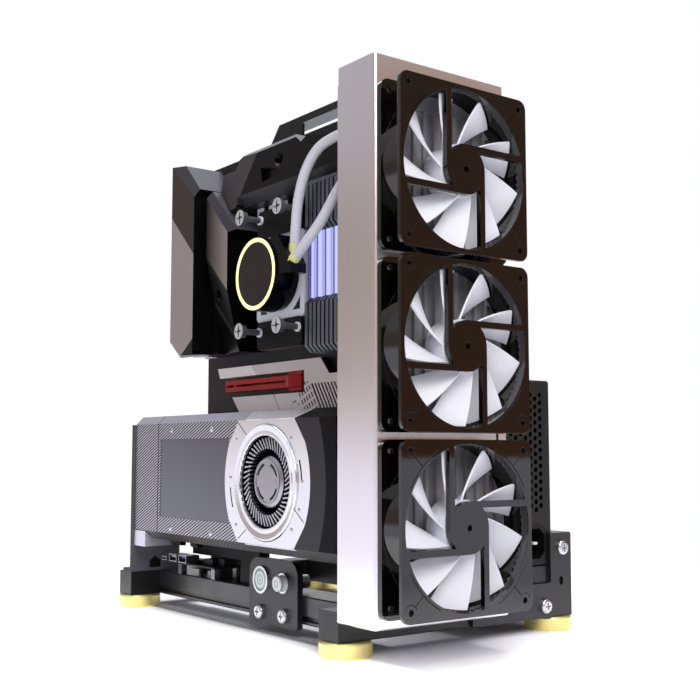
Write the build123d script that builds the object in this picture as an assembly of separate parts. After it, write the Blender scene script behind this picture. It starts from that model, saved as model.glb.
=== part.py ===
from build123d import *

import os
from math import cos, pi, radians, sin, tan

# Open air test bench: an upright frame of bars on four turned feet, which carries a
# mainboard with its cooler loop, a blower graphics card, a power supply and a tall
# radiator with three fans. Millimetres, +Z up, +X towards the fans, -Y is the front.
# The origin is on the floor, under the middle of the bench.

# Fits
face_gap = 0.3
shaft_gap = 0.05

# Base bars and feet
rail_width = 23.6
rail_height = 21.6
rail_chamfer = 0.8
cross_rail_length = 237.0
long_rail_depth = 32.0
front_rail_setback = 30.0
rear_rail_setback = 5.0
rail_groove_height = 4.0
rail_groove_depth = 3.0
rail_groove_drop = 15.0
foot_diameter = 38.5
foot_height = 11.0
foot_inset = 15.0
foot_edge = 1.2

# Fans
fan_size = 120.0
fan_depth = 25.0
fan_gap = 4.7
fan_corner = 7.0
fan_rim = 3.0
fan_ring_wall = 2.0
fan_hole_inset = 7.5
fan_hole = 4.4
fan_rear_flange = 4.0
fan_front_flange = 3.0
fan_hub = 36.0
strut_width = 4.6
strut_depth = 4.0
stator_diameter = 29.0
stator_length = 11.0
rotor_hub = 38.0
rotor_wall = 2.2
rotor_end = 1.5
fan_shaft = 4.0
tip_gap = 1.5
blade_count = 9
blade_thickness = 1.5
blade_depth = 13.8
blade_span = 26.0
blade_lead = 32.5
blade_bow = 1.8
blade_start = 30.3

# Radiator
radiator_margin = 2.5
radiator_depth = 44.4
radiator_head = 18.1
radiator_wall = 2.0
radiator_edge = 3.0
radiator_drop = 7.1
radiator_lip = 8.0
fan_stack_lift = 6.5
casing_cap_height = 12.5
casing_cap_inset = 3.0
tank_height = 20.0
core_groove_pitch = 9.6
core_groove_width = 6.4
core_groove_depth = 3.0

# Graphics card
card_length = 318.2
card_height = 111.0
card_depth = 38.0
card_bevel = 7.0
card_setback = 2.0
card_lift = 32.4
card_end_gap = 5.6
card_board_thickness = 1.6
slot_bracket_thickness = 1.0
trim_thickness = 1.4
trim_length = 196.0
window_margin = 14.0
window_left = 50.0
window_width = 120.0
window_recess = 0.6
blower_opening = 72.0
blower_wheel = 70.0
blower_x = 225.2
blower_depth = 22.0
blower_recess = 1.4
blower_blades = 48
blower_hub = 40.0
blower_shaft = 4.0
card_frame_half_width = 61.0
card_frame_waist = 54.0
card_frame_end = 40.0
card_frame_shoulder = 31.0
card_frame_thickness = 2.4

# Card mount plate and riser
mount_plate_thickness = 3.0
mount_plate_depth = 50.0
mount_plate_height = 136.2
mount_flange = 14.0
support_width = 25.0
support_depth = 30.0
support_height = 15.5
card_edge_offset = 56.0
card_edge_length = 86.0
card_edge_drop = 7.0
riser_height = 13.0
riser_depth = 10.0
riser_leg_width = 30.0

# Mainboard and tray
board_width = 272.0
board_height = 305.0
board_thickness = 1.6
board_lift = 74.4
board_end_gap = 13.6
standoff_height = 3.4
standoff_diameter = 6.0
tray_thickness = 3.0
tray_rise = 20.0
tray_top_flange = 23.0
tray_side_flange = 25.0
tray_leg_width = 80.0
tray_leg_drop = 20.0
tray_leg_opening = 60.0
handle_width = 112.0
handle_height = 27.0
handle_band = 6.5
handle_end = 26.0
handle_shoulder = 35.3

# Covers on the mainboard, heights above the board
port_cover_height = 41.0
port_ridge_height = 35.0
port_channel_height = 23.0
ridge_fall = 0.31
power_cover_height = 29.0
chipset_height = 7.0
expansion_height = 11.0

# Memory
module_count = 4
module_pitch = 10.9
module_thickness = 9.0
module_groove = 2.2
module_length = 136.0
module_height = 32.0
module_edge = 5.0
module_light_recess = 4.5
module_light_length = 51.0
socket_height = 4.7
memory_end_gap = 16.0
memory_lift = 113.0

# Cooler
pump_x = 170.0
pump_z = 178.3
pump_diameter = 59.4
pump_height = 55.0
pump_barrel = 19.5
pump_neck = 54.0
pump_base = 56.0
cold_plate_height = 9.0
processor_size = 54.0
processor_height = 8.2
ring_outer = 58.0
ring_inner = 51.6
ring_depth = 1.5
cooler_spacing_x = 56.0
cooler_spacing_z = 94.0
cooler_bolt_rise = 3.4
cooler_bolt_shift = 1.5
cooler_frame_size = 70.0
cooler_frame_bottom = 26.0
cooler_frame_top = 31.0
cooler_bar_height = 23.0
cooler_bar_bottom = 21.0
cooler_bar_top = 33.0
cooler_bar_overhang = 5.0
cooler_screw_shank = 5.0
cooler_screw_head = 13.0
cooler_screw_top = 54.0
collar_diameter = 8.8
tube_diameter = 8.0

# Power supply
supply_height = 150.0
supply_width = 86.0
supply_length = 160.0
supply_edge = 1.5
supply_lift = 19.4
supply_rear_setback = 20.5
supply_back_gap = 0.4
comb_columns = 8
comb_rows = 15
comb_hole = 4.6
comb_column_pitch = 5.6
comb_row_pitch = 6.4
comb_depth = 2.0
inlet_width = 24.0
inlet_height = 28.0
inlet_depth = 17.0
inlet_wall = 2.0
supply_fan_bore = 122.0
supply_fan_hub = 42.0
supply_fan_depth = 25.0
supply_fan_blades = 7
guard_wire = 1.8
guard_rings = 5
guard_pitch = 12.0
holder_thickness = 3.0
holder_height = 27.5
holder_upright = 24.0
holder_upright_height = 67.0
holder_end_gap = 2.0

# Button panel
panel_width = 70.0
panel_height = 52.0
panel_thickness = 5.0
panel_top_corner = 12.0
panel_bottom_corner = 3.0
panel_drop = 26.1
panel_offset = 21.1
button_spacing = 32.2
button_rise = 8.4
power_button = 22.0
power_cap = 17.0
power_travel = 1.6
reset_button = 16.0
reset_cap = 12.4
reset_reach = 5.5
reset_travel = 2.0
bezel_flange = 2.0
bezel_length = 22.0
bezel_wall = 1.6
bezel_rim = 0.8
screw_head = 11.6
screw_head_height = 4.0
screw_shank = 5.0
screw_reach = 14.0
panel_screw_spacing = 34.4
panel_screw_drop = 16.9

# Front hub
hub_board_length = 96.0
hub_board_depth = 34.0
hub_board_thickness = 1.6
hub_board_left = 21.0
hub_board_overhang = 9.0
hub_standoff_height = 10.4
hub_standoff = 6.0

# Places that follow from the sizes above
rail_top = foot_height + rail_height
fan_bore = fan_size - 2 * fan_rim
fan_hole_spacing = fan_size - 2 * fan_hole_inset
radiator_width = fan_size + 2 * radiator_margin
radiator_height = fan_stack_lift + 3 * fan_size + 2 * fan_gap + radiator_head
front_y = -cross_rail_length / 2
rear_y = cross_rail_length / 2
cross_rail_spacing = slot_bracket_thickness + card_length + card_end_gap
bench_length = (
    foot_diameter / 2 + cross_rail_spacing + rail_width / 2 + radiator_depth + fan_depth
)
left_rail_x = foot_diameter / 2 - bench_length / 2
right_rail_x = left_rail_x + cross_rail_spacing
left_inner_x = left_rail_x + rail_width / 2
right_inner_x = right_rail_x - rail_width / 2
casing_back_x = right_rail_x + rail_width / 2
casing_front_x = casing_back_x + radiator_depth
casing_bottom = rail_top - radiator_drop
casing_top = casing_bottom + radiator_height
fan_pitch = fan_size + fan_gap
fan_y = front_y + fan_size / 2
fan_z = [casing_bottom + fan_stack_lift + fan_size / 2 + step * fan_pitch for step in range(3)]
casing_low_y = fan_y - radiator_width / 2
casing_high_y = fan_y + radiator_width / 2
front_rail_y = front_y + front_rail_setback
tray_front_y = front_rail_y + long_rail_depth
board_back_y = tray_front_y - standoff_height
board_front_y = board_back_y - board_thickness
board_right_x = casing_back_x - board_end_gap
board_left_x = board_right_x - board_width
board_bottom = rail_top + board_lift
board_top = board_bottom + board_height
card_left_x = left_inner_x + slot_bracket_thickness
card_right_x = card_left_x + card_length
card_front_y = front_y + card_setback
card_back_y = card_front_y + card_depth
card_bottom = rail_top + card_lift
card_top = card_bottom + card_height
blower_axis_x = card_left_x + blower_x
blower_axis_z = (card_bottom + card_top) / 2


# Shape helpers


def block(low_x, high_x, low_y, high_y, low_z, high_z):
    centre = Pos((low_x + high_x) / 2, (low_y + high_y) / 2, (low_z + high_z) / 2)
    return centre * Box(high_x - low_x, high_y - low_y, high_z - low_z)


def prism_x(points, low_x, high_x):
    plane = Plane(origin=(low_x, 0, 0), x_dir=(0, 1, 0), z_dir=(1, 0, 0))
    return extrude(plane * make_face(Polyline(*points, close=True)), high_x - low_x, dir=(1, 0, 0))


def prism_y(points, low_y, high_y):
    plane = Plane(origin=(0, low_y, 0), x_dir=(1, 0, 0), z_dir=(0, -1, 0))
    return extrude(plane * make_face(Polyline(*points, close=True)), high_y - low_y, dir=(0, 1, 0))


def rod_x(y, z, diameter, low_x, high_x):
    return Pos((low_x + high_x) / 2, y, z) * Rot(0, 90, 0) * Cylinder(diameter / 2, high_x - low_x)


def rod_y(x, z, diameter, low_y, high_y):
    return Pos(x, (low_y + high_y) / 2, z) * Rot(90, 0, 0) * Cylinder(diameter / 2, high_y - low_y)


def rod_z(x, y, diameter, low_z, high_z):
    return Pos(x, y, (low_z + high_z) / 2) * Cylinder(diameter / 2, high_z - low_z)


def rod_between(start, end, diameter):
    plane = Plane(origin=start, z_dir=end - start)
    upright = (Align.CENTER, Align.CENTER, Align.MIN)
    return plane * Cylinder(diameter / 2, (end - start).length, align=upright)


def on_board(u, v):
    """A point of the mainboard's face, from its lower left corner."""
    return (board_left_x + u, board_bottom + v)


def above_board(height):
    return board_front_y - height


def save(name, shape):
    export_step(shape, f"parts/{name}.step")


# Base


def cross_rail(x):
    bar = block(x - rail_width / 2, x + rail_width / 2, front_y, rear_y, foot_height, rail_top)
    return chamfer(bar.edges().filter_by(Axis.Y), rail_chamfer)


def long_rail(low_y, open_side):
    high_y = low_y + long_rail_depth
    bar = block(left_inner_x, right_inner_x, low_y, high_y, foot_height, rail_top)
    bar = chamfer(bar.edges().filter_by(Axis.X), rail_chamfer)
    groove_y = low_y if open_side < 0 else high_y - rail_groove_depth
    groove_top = rail_top - rail_groove_drop
    return bar - block(
        left_inner_x, right_inner_x, groove_y, groove_y + rail_groove_depth,
        groove_top - rail_groove_height, groove_top,
    )


def feet():
    discs = []
    for x in (left_rail_x, right_rail_x):
        for y in (front_y + foot_inset, rear_y - foot_inset):
            disc = rod_z(x, y, foot_diameter, 0, foot_height)
            rims = disc.edges().filter_by(GeomType.CIRCLE)
            discs.append(chamfer(rims, foot_edge))
    return Compound(discs)


# Button panel

panel_x = panel_offset
panel_z = rail_top - panel_drop + panel_height / 2
panel_front_y = front_rail_y - panel_thickness
button_z = rail_top + button_rise
power_x = panel_x - button_spacing / 2
reset_x = panel_x + button_spacing / 2
panel_screw_z = rail_top - panel_screw_drop
panel_screw_x = (panel_x - panel_screw_spacing / 2, panel_x + panel_screw_spacing / 2)


def button_panel():
    half, low, high = panel_width / 2, panel_z - panel_height / 2, panel_z + panel_height / 2
    outline = FilletPolyline(
        (panel_x - half, low), (panel_x + half, low), (panel_x + half, high), (panel_x - half, high),
        radius=[panel_bottom_corner, panel_bottom_corner, panel_top_corner, panel_top_corner],
        close=True,
    )
    plane = Plane(origin=(0, panel_front_y, 0), x_dir=(1, 0, 0), z_dir=(0, -1, 0))
    panel = extrude(plane * make_face(outline), panel_thickness, dir=(0, 1, 0))
    for x, diameter in ((power_x, power_button), (reset_x, reset_button)):
        hole = diameter - 2 * bezel_rim + 2 * face_gap
        panel -= rod_y(x, button_z, hole, panel_front_y, front_rail_y)
    for x in panel_screw_x:
        panel -= rod_y(x, panel_screw_z, screw_shank + 2 * face_gap, panel_front_y, front_rail_y)
    return panel


def button_bezel(x, diameter, cap):
    """A flanged body in the panel with a well for the cap and a narrow barrel behind."""
    front = panel_front_y - bezel_flange
    back = panel_front_y + bezel_length
    well_back = front_rail_y - bezel_wall
    bezel = rod_y(x, button_z, diameter, front, panel_front_y)
    bezel += rod_y(x, button_z, diameter - 2 * bezel_rim, panel_front_y, front_rail_y)
    bezel += rod_y(x, button_z, cap - 2 * bezel_rim, front_rail_y, back)
    bezel -= rod_y(x, button_z, cap + 2 * face_gap, front, well_back)
    return bezel - rod_y(x, button_z, cap / 3 + 2 * face_gap, well_back, back - bezel_wall)


def button_cap(x, diameter, reach, travel):
    """A pressed disc on a stem, which stops one travel short of its well's floor."""
    front = panel_front_y - bezel_flange - reach
    stop = bezel_wall + travel + face_gap
    cap = rod_y(x, button_z, diameter, front, front_rail_y - stop)
    rim = cap.edges().filter_by(GeomType.CIRCLE).sort_by(Axis.Y)[0]
    cap = chamfer(rim, bezel_rim)
    return cap + rod_y(
        x, button_z, diameter / 3, front_rail_y - stop, panel_front_y + bezel_length - stop
    )


# Large pan-head screws of the panel and of the power supply's holder

holder_low_y = casing_high_y + holder_end_gap
holder_high_y = rear_y - holder_end_gap
holder_front_x = casing_back_x + holder_thickness
holder_screws = (
    (holder_high_y - holder_upright / 2, rail_top + 33.4),
    (holder_high_y - holder_upright - 8.0, rail_top - 11.9),
)


def pan_screw():
    """A screw along +Z with its seat at the origin and a cross recess in its head."""
    head = Cylinder(screw_head / 2, screw_head_height, align=(Align.CENTER, Align.CENTER, Align.MIN))
    head = fillet(head.edges().filter_by(GeomType.CIRCLE).sort_by(Axis.Z)[-1], screw_head_height / 2)
    shank = Cylinder(screw_shank / 2, screw_reach, align=(Align.CENTER, Align.CENTER, Align.MAX))
    wing, blade = screw_head / 2, screw_shank / 4
    recess = Box(wing, blade, screw_head_height) + Box(blade, wing, screw_head_height)
    return head + shank - Pos(0, 0, screw_head_height) * recess


def frame_screws():
    screw = pan_screw()
    placed = [
        Pos(x, panel_front_y, panel_screw_z) * Rot(90, 0, 0) * screw for x in panel_screw_x
    ]
    placed += [Pos(holder_front_x, y, z) * Rot(0, 90, 0) * screw for y, z in holder_screws]
    return Compound([solid for one in placed for solid in one.solids()])


def screw_holes(piece):
    """Clears the shanks of the large screws out of a bar, block or plate."""
    size = screw_shank + 2 * face_gap
    deep = screw_reach + face_gap
    for x in panel_screw_x:
        piece -= rod_y(x, panel_screw_z, size, panel_front_y, panel_front_y + deep)
    for y, z in holder_screws:
        piece -= rod_x(y, z, size, holder_front_x - deep, holder_front_x)
    return piece


# Power supply

supply_right_x = casing_back_x - supply_back_gap
supply_left_x = supply_right_x - supply_length
supply_high_y = rear_y - supply_rear_setback
supply_low_y = supply_high_y - supply_width
supply_bottom = rail_top + supply_lift
supply_top = supply_bottom + supply_height
supply_fan_x = (supply_left_x + supply_right_x) / 2
supply_fan_z = (supply_bottom + supply_top) / 2
inlet_y = supply_high_y - 7.0 - inlet_width / 2
inlet_z = supply_bottom + 4.0 + inlet_height / 2
switch_y = inlet_y - 25.0
switch_width = 14.0
switch_height = 20.0
switch_depth = 8.0
switch_reach = 2.2
switch_tilt = 7.0
switch_axle = 2.0
rear_rail_y = rear_y - rear_rail_setback - long_rail_depth


def honeycomb():
    holes = []
    right = supply_high_y - 12.0
    top = supply_top - 12.0
    for column in range(comb_columns):
        drop = comb_row_pitch / 2 if column % 2 else 0
        for row in range(comb_rows):
            place = (right - column * comb_column_pitch, top - drop - row * comb_row_pitch)
            holes.append(Pos(*place) * RegularPolygon(comb_hole / 2, 6))
    plane = Plane(origin=(supply_right_x - comb_depth, 0, 0), x_dir=(0, 1, 0), z_dir=(1, 0, 0))
    return extrude(plane * Sketch(children=holes), comb_depth, dir=(1, 0, 0))


def inlet_outline(width, height):
    """The socket's outline, with the two corners on its +Y side cut off."""
    half_y, half_z, cut = width / 2, height / 2, width / 4
    return [
        (inlet_y - half_y, inlet_z - half_z), (inlet_y + half_y - cut, inlet_z - half_z),
        (inlet_y + half_y, inlet_z - half_z + cut), (inlet_y + half_y, inlet_z + half_z - cut),
        (inlet_y + half_y - cut, inlet_z + half_z), (inlet_y - half_y, inlet_z + half_z),
    ]


def psu_case():
    case = block(
        supply_left_x, supply_right_x, supply_low_y, supply_high_y, supply_bottom, supply_top
    )
    case = chamfer(case.edges(), supply_edge)
    case -= honeycomb()
    case -= prism_x(
        inlet_outline(inlet_width, inlet_height), supply_right_x - inlet_depth, supply_right_x
    )
    case -= block(
        supply_right_x - switch_depth, supply_right_x, switch_y - switch_width / 2,
        switch_y + switch_width / 2, inlet_z - switch_height / 2, inlet_z + switch_height / 2,
    )
    axle_reach = switch_width / 2 + 2.0
    case -= rod_y(
        switch_axle_x, inlet_z, switch_axle + 2 * shaft_gap, switch_y - axle_reach, switch_y + axle_reach
    )
    case -= rod_y(
        supply_fan_x, supply_fan_z, supply_fan_bore, supply_high_y - supply_fan_depth, supply_high_y
    )
    case -= rod_y(
        supply_fan_x, supply_fan_z, fan_shaft + 2 * shaft_gap,
        supply_high_y - supply_fan_depth - stator_length, supply_high_y - supply_fan_depth,
    )
    return case


switch_axle_x = supply_right_x - switch_depth / 2


def psu_inlet():
    shell = prism_x(
        inlet_outline(inlet_width, inlet_height), supply_right_x - inlet_depth, supply_right_x
    )
    shell += prism_x(
        inlet_outline(inlet_width + 2 * inlet_wall, inlet_height + 2 * inlet_wall),
        supply_right_x, supply_right_x + supply_back_gap / 2,
    )
    inner = (inlet_width - 2 * inlet_wall, inlet_height - 2 * inlet_wall)
    shell -= prism_x(
        inlet_outline(*inner), supply_right_x - inlet_depth + inlet_wall, supply_right_x + inlet_wall
    )
    pins = ((inlet_y - 4.0, inlet_z - 7.0), (inlet_y + 3.0, inlet_z), (inlet_y - 4.0, inlet_z + 7.0))
    for y, z in pins:
        shell += block(
            supply_right_x - inlet_depth, supply_right_x - 3.0, y - 2.0, y + 2.0, z - 1.0, z + 1.0
        )
    return shell


def psu_switch():
    """A rocker whose face is two flats that meet at its middle."""
    half_y = switch_width / 2 - face_gap
    half_z = switch_height / 2 - 2 * face_gap
    deep = switch_depth / 2
    outline = [
        (switch_axle_x - deep / 2, -half_z / 2), (switch_axle_x + deep, -half_z),
        (switch_axle_x + deep + switch_reach, -half_z * 0.9), (switch_axle_x + deep + 0.6, 0),
        (switch_axle_x + deep + switch_reach, half_z * 0.9), (switch_axle_x + deep, half_z),
        (switch_axle_x - deep / 2, half_z / 2),
    ]
    points = [(x, inlet_z + z) for x, z in outline]
    rocker = prism_y(points, switch_y - half_y, switch_y + half_y)
    reach = switch_width / 2 + 1.5
    rocker += rod_y(switch_axle_x, inlet_z, switch_axle, switch_y - reach, switch_y + reach)
    return rocker.rotate(Axis((switch_axle_x, switch_y, inlet_z), (0, 1, 0)), switch_tilt)


def psu_fan_guard():
    rings = []
    for step in range(guard_rings):
        radius = supply_fan_bore / 2 - step * guard_pitch
        rings.append(Circle(radius + guard_wire / 2) - Circle(radius - guard_wire / 2))
    wires = Sketch() + rings
    span = supply_fan_bore + 4 * guard_wire
    wires += [Rot(0, 0, turn) * Rectangle(span, guard_wire) for turn in (45, 135)]
    plane = Plane(origin=(supply_fan_x, supply_high_y, supply_fan_z), x_dir=(1, 0, 0), z_dir=(0, -1, 0))
    return extrude(plane * wires, guard_wire, dir=(0, 1, 0))


def psu_holder():
    low_z = rail_top - holder_height + 5.9
    high_z = low_z + holder_height
    upright_y = holder_high_y - holder_upright
    plate = prism_x(
        [
            (holder_low_y, low_z), (holder_high_y, low_z), (holder_high_y, low_z + holder_upright_height),
            (upright_y, low_z + holder_upright_height), (upright_y, high_z), (holder_low_y, high_z),
        ],
        casing_back_x, holder_front_x,
    )
    plate = fillet(plate.edges().filter_by(Axis.X), holder_thickness / 2)
    slot_y, slot_z = holder_high_y - holder_upright / 2, rail_top + 6.9
    slot = Pos(slot_y, slot_z) * Rot(0, 0, 90) * SlotOverall(7.0, 4.5)
    plane = Plane(origin=(casing_back_x, 0, 0), x_dir=(0, 1, 0), z_dir=(1, 0, 0))
    plate -= extrude(plane * slot, holder_thickness, dir=(1, 0, 0))
    return screw_holes(plate)


def psu_saddles():
    """The stepped block on the right cross rail and the plain one on the rear rail."""
    step_y = supply_high_y + face_gap
    step_top = rail_top + holder_upright_height - holder_height + 5.9
    stepped = prism_x(
        [
            (supply_low_y, rail_top), (rear_y, rail_top), (rear_y, step_top),
            (step_y, step_top), (step_y, supply_bottom), (supply_low_y, supply_bottom),
        ],
        right_inner_x, casing_back_x,
    )
    plain = block(
        supply_left_x, supply_left_x + rail_width, rear_rail_y, supply_high_y, rail_top, supply_bottom
    )
    return Compound([*screw_holes(stepped).solids(), *plain.solids()])


# Fans, built about the X axis with the back flange's face at X = 0


def blade(tip_radius, hub_radius, wall, low, high):
    """One swept blade between two levels, from inside the hub's wall to beyond the tip circle."""
    sections = []
    root = hub_radius - wall + 0.4
    for share in (0.0, 0.5, 1.0):
        radius = root + share * (tip_radius + 2.0 - root)
        front = blade_start + blade_lead * (1 - share) ** blade_bow
        turn = radians(front - blade_span / 2)
        width = 2 * radius * sin(radians(blade_span / 2))
        outward = Vector(0, cos(turn), sin(turn))
        around = Vector(0, -sin(turn), cos(turn))
        along = around * width + Vector(high - low, 0, 0)
        origin = outward * radius + Vector((low + high) / 2, 0, 0)
        sections.append(
            Plane(origin=origin, x_dir=along, z_dir=outward) * Rectangle(along.length, blade_thickness)
        )
    return loft(sections)


def rotor(tip_radius, hub_diameter, depth, blades, shaft_end):
    """Hub cup, closed at the back, with its shaft and a ring of blades."""
    cup = rod_x(0, 0, hub_diameter, rotor_end, depth)
    cup -= rod_x(0, 0, hub_diameter - 2 * rotor_wall, rotor_end + rotor_wall, depth)
    wheel = cup + rod_x(0, 0, fan_shaft, rotor_end, shaft_end)
    high = depth + blade_thickness / 3
    one = blade(tip_radius, hub_diameter / 2, rotor_wall, high - blade_depth, high)
    one &= rod_x(0, 0, 2 * tip_radius, 0, 2 * depth)
    one -= rod_x(0, 0, hub_diameter - rotor_wall, 0, 2 * depth)
    return wheel + [Rot(360 * step / blades, 0, 0) * one for step in range(blades)]


def fan_frame():
    reach = fan_hole_spacing / 2
    corners = [(y, z) for y in (-reach, reach) for z in (-reach, reach)]
    plate = RectangleRounded(fan_size, fan_size, fan_corner) - Circle(fan_bore / 2)
    plate -= [Pos(y, z) * Circle(fan_hole / 2) for y, z in corners]
    ring = Circle(fan_bore / 2 + fan_ring_wall) - Circle(fan_bore / 2)
    hub_radius = fan_hub / 2
    strut_length = fan_bore / 2 + fan_ring_wall / 2
    strut_y = strut_width / 2 - hub_radius
    strut = Pos(strut_y, strut_length / 2) * Rectangle(strut_width, strut_length)
    spider = Circle(hub_radius) + [Rot(0, 0, turn) * strut for turn in (0, 90, 180, 270)]
    spider &= Circle(fan_bore / 2 + fan_ring_wall / 2)
    frame = extrude(Plane.YZ * plate, fan_rear_flange)
    frame += extrude(Plane.YZ.offset(fan_depth - fan_front_flange) * plate, fan_front_flange)
    frame += extrude(Plane.YZ * ring, fan_depth)
    frame += extrude(Plane.YZ.offset(fan_depth - strut_depth) * spider, strut_depth)
    stator_back = fan_depth - strut_depth - stator_length
    frame += rod_x(0, 0, stator_diameter, stator_back, fan_depth - strut_depth)
    bearing = fan_shaft + 2 * shaft_gap
    return frame - rod_x(0, 0, bearing, stator_back, fan_depth - strut_depth / 2)


# Radiator


def radiator_casing():
    shell = block(
        casing_back_x, casing_front_x, casing_low_y, casing_high_y, casing_bottom, casing_top
    )
    shell = fillet(shell.edges().filter_by(Axis.Z), radiator_edge)
    shell = chamfer(shell.faces().sort_by(Axis.Z)[0].edges(), radiator_wall / 2)
    cap_z = casing_top - casing_cap_height
    shell -= block(
        casing_back_x, casing_back_x + casing_cap_inset, casing_low_y, casing_high_y, cap_z, casing_top
    )
    wall = radiator_wall
    shell -= block(
        casing_back_x + casing_cap_inset + wall, casing_front_x - wall, casing_low_y + wall,
        casing_high_y - wall, casing_bottom + wall, casing_top - wall,
    )
    shell -= block(
        casing_back_x, casing_front_x - wall, casing_low_y + radiator_lip, casing_high_y - radiator_lip,
        casing_bottom + tank_height + wall, cap_z - tank_height,
    )
    for z in fan_z:
        shell -= rod_x(fan_y, z, fan_bore, casing_front_x - wall, casing_front_x)
    return shell


def radiator_core():
    wall = radiator_wall
    low_x = casing_back_x + casing_cap_inset + wall
    high_x = casing_front_x - wall
    core = block(
        low_x, high_x, casing_low_y + wall, casing_high_y - wall, casing_bottom + wall, casing_top - wall
    )
    low_z = casing_bottom + tank_height + wall
    high_z = casing_top - casing_cap_height - tank_height
    channels = int((radiator_width - 2 * radiator_lip) / core_groove_pitch)
    for step in range(channels):
        y = fan_y + (step - (channels - 1) / 2) * core_groove_pitch
        low_y, high_y = y - core_groove_width / 2, y + core_groove_width / 2
        core -= block(low_x, low_x + core_groove_depth, low_y, high_y, low_z, high_z)
        core -= block(high_x - core_groove_depth, high_x, low_y, high_y, low_z, high_z)
    return core


# Mainboard tray: one folded sheet with a handle along its top edge


def motherboard_tray():
    front, back = tray_front_y, tray_front_y + tray_thickness
    low = rail_top - tray_leg_drop
    top = board_top + tray_rise
    sheet = block(board_left_x, casing_back_x, front, back, low, top)
    sheet -= block(
        board_left_x + tray_leg_width, right_inner_x - tray_leg_width / 2, front, back,
        low, rail_top + tray_leg_opening,
    )
    sheet -= block(right_inner_x, casing_back_x, front, back, low, rail_top)
    handle_right = casing_back_x - handle_end
    handle_left = handle_right - handle_width
    sheet -= block(
        handle_left, handle_right, front, back, top - handle_band - handle_height, top - handle_band
    )
    shoulder = handle_left - handle_shoulder
    sheet -= prism_y(
        [
            (board_left_x, board_top), (shoulder - 0.9 * tray_rise, board_top), (shoulder, top),
            (board_left_x, top),
        ],
        front, back,
    )
    sheet += block(
        shoulder, casing_back_x, back, front + tray_top_flange, top - tray_thickness, top
    )
    sheet += block(
        casing_back_x - tray_thickness, casing_back_x, back, front + tray_side_flange,
        board_bottom, casing_top - casing_cap_height - tank_height,
    )
    for u in (8.0, board_width / 2, board_width - 8.0):
        for v in (8.0, board_height / 2 - 40.0, board_height - 12.0):
            x, z = on_board(u, v)
            sheet += rod_y(x, z, standoff_diameter, board_back_y, front)
    return sheet


# Mainboard and what is soldered to it

memory_right_x = board_right_x - memory_end_gap
memory_x = [
    memory_right_x - module_thickness / 2 - step * module_pitch for step in reversed(range(module_count))
]
memory_bottom = board_bottom + memory_lift
memory_top = memory_bottom + module_length


def motherboard():
    board = block(
        board_left_x, board_right_x, board_front_y, board_back_y, board_bottom, board_top
    )
    socket_width = module_thickness - module_groove
    for x in memory_x:
        board += block(
            x - socket_width / 2, x + socket_width / 2, above_board(socket_height), board_front_y,
            memory_bottom, memory_top,
        )
    chokes = [(106.0, 244.0), (143.0, 244.0), (124.5, 244.0), (161.5, 244.0), (180.0, 244.0)]
    choke = 11.0
    for u, v in chokes:
        x, z = on_board(u, v)
        board += block(
            x - choke / 2, x + choke / 2, above_board(choke - 2.0), board_front_y,
            z - choke / 2, z + choke / 2,
        )
    return board


def rear_io_ports():
    """The row of plug sockets at the board's left edge, open towards -X."""
    left, right = board_left_x - 1.0, board_left_x + 22.0
    sockets = [
        (132.0, 14.0, 12.0), (150.0, 14.0, 16.0), (168.0, 14.0, 16.0), (186.0, 14.0, 16.0),
        (205.0, 16.0, 20.0), (226.0, 14.0, 16.0), (244.0, 12.0, 14.0),
    ]
    shell = 1.0
    ports = block(
        left + 2.0, right, above_board(4.0), board_front_y, board_bottom + 124.0, board_bottom + 256.0
    )
    for v, span, height in sockets:
        low, high = board_bottom + v - span / 2, board_bottom + v + span / 2
        body = block(left, right, above_board(height + 4.0), above_board(3.0), low, high)
        body -= block(
            left, left + 12.0, above_board(height + 4.0 - shell), above_board(4.0 + shell),
            low + shell, high - shell,
        )
        ports += body
    return ports


def folded(solid, crease, height, fall):
    """A cover's face, bent back from a crease line on the left of its direction."""
    (u0, v0), (u1, v1) = crease
    length = ((u1 - u0) ** 2 + (v1 - v0) ** 2) ** 0.5
    left = ((v0 - v1) / length, (u1 - u0) / length)
    x, z = on_board(u0, v0)
    face = Plane(origin=(x, above_board(height), z), z_dir=(fall * left[0], -1.0, fall * left[1]))
    return split(solid, bisect_by=face, keep=Keep.BOTTOM)


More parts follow.
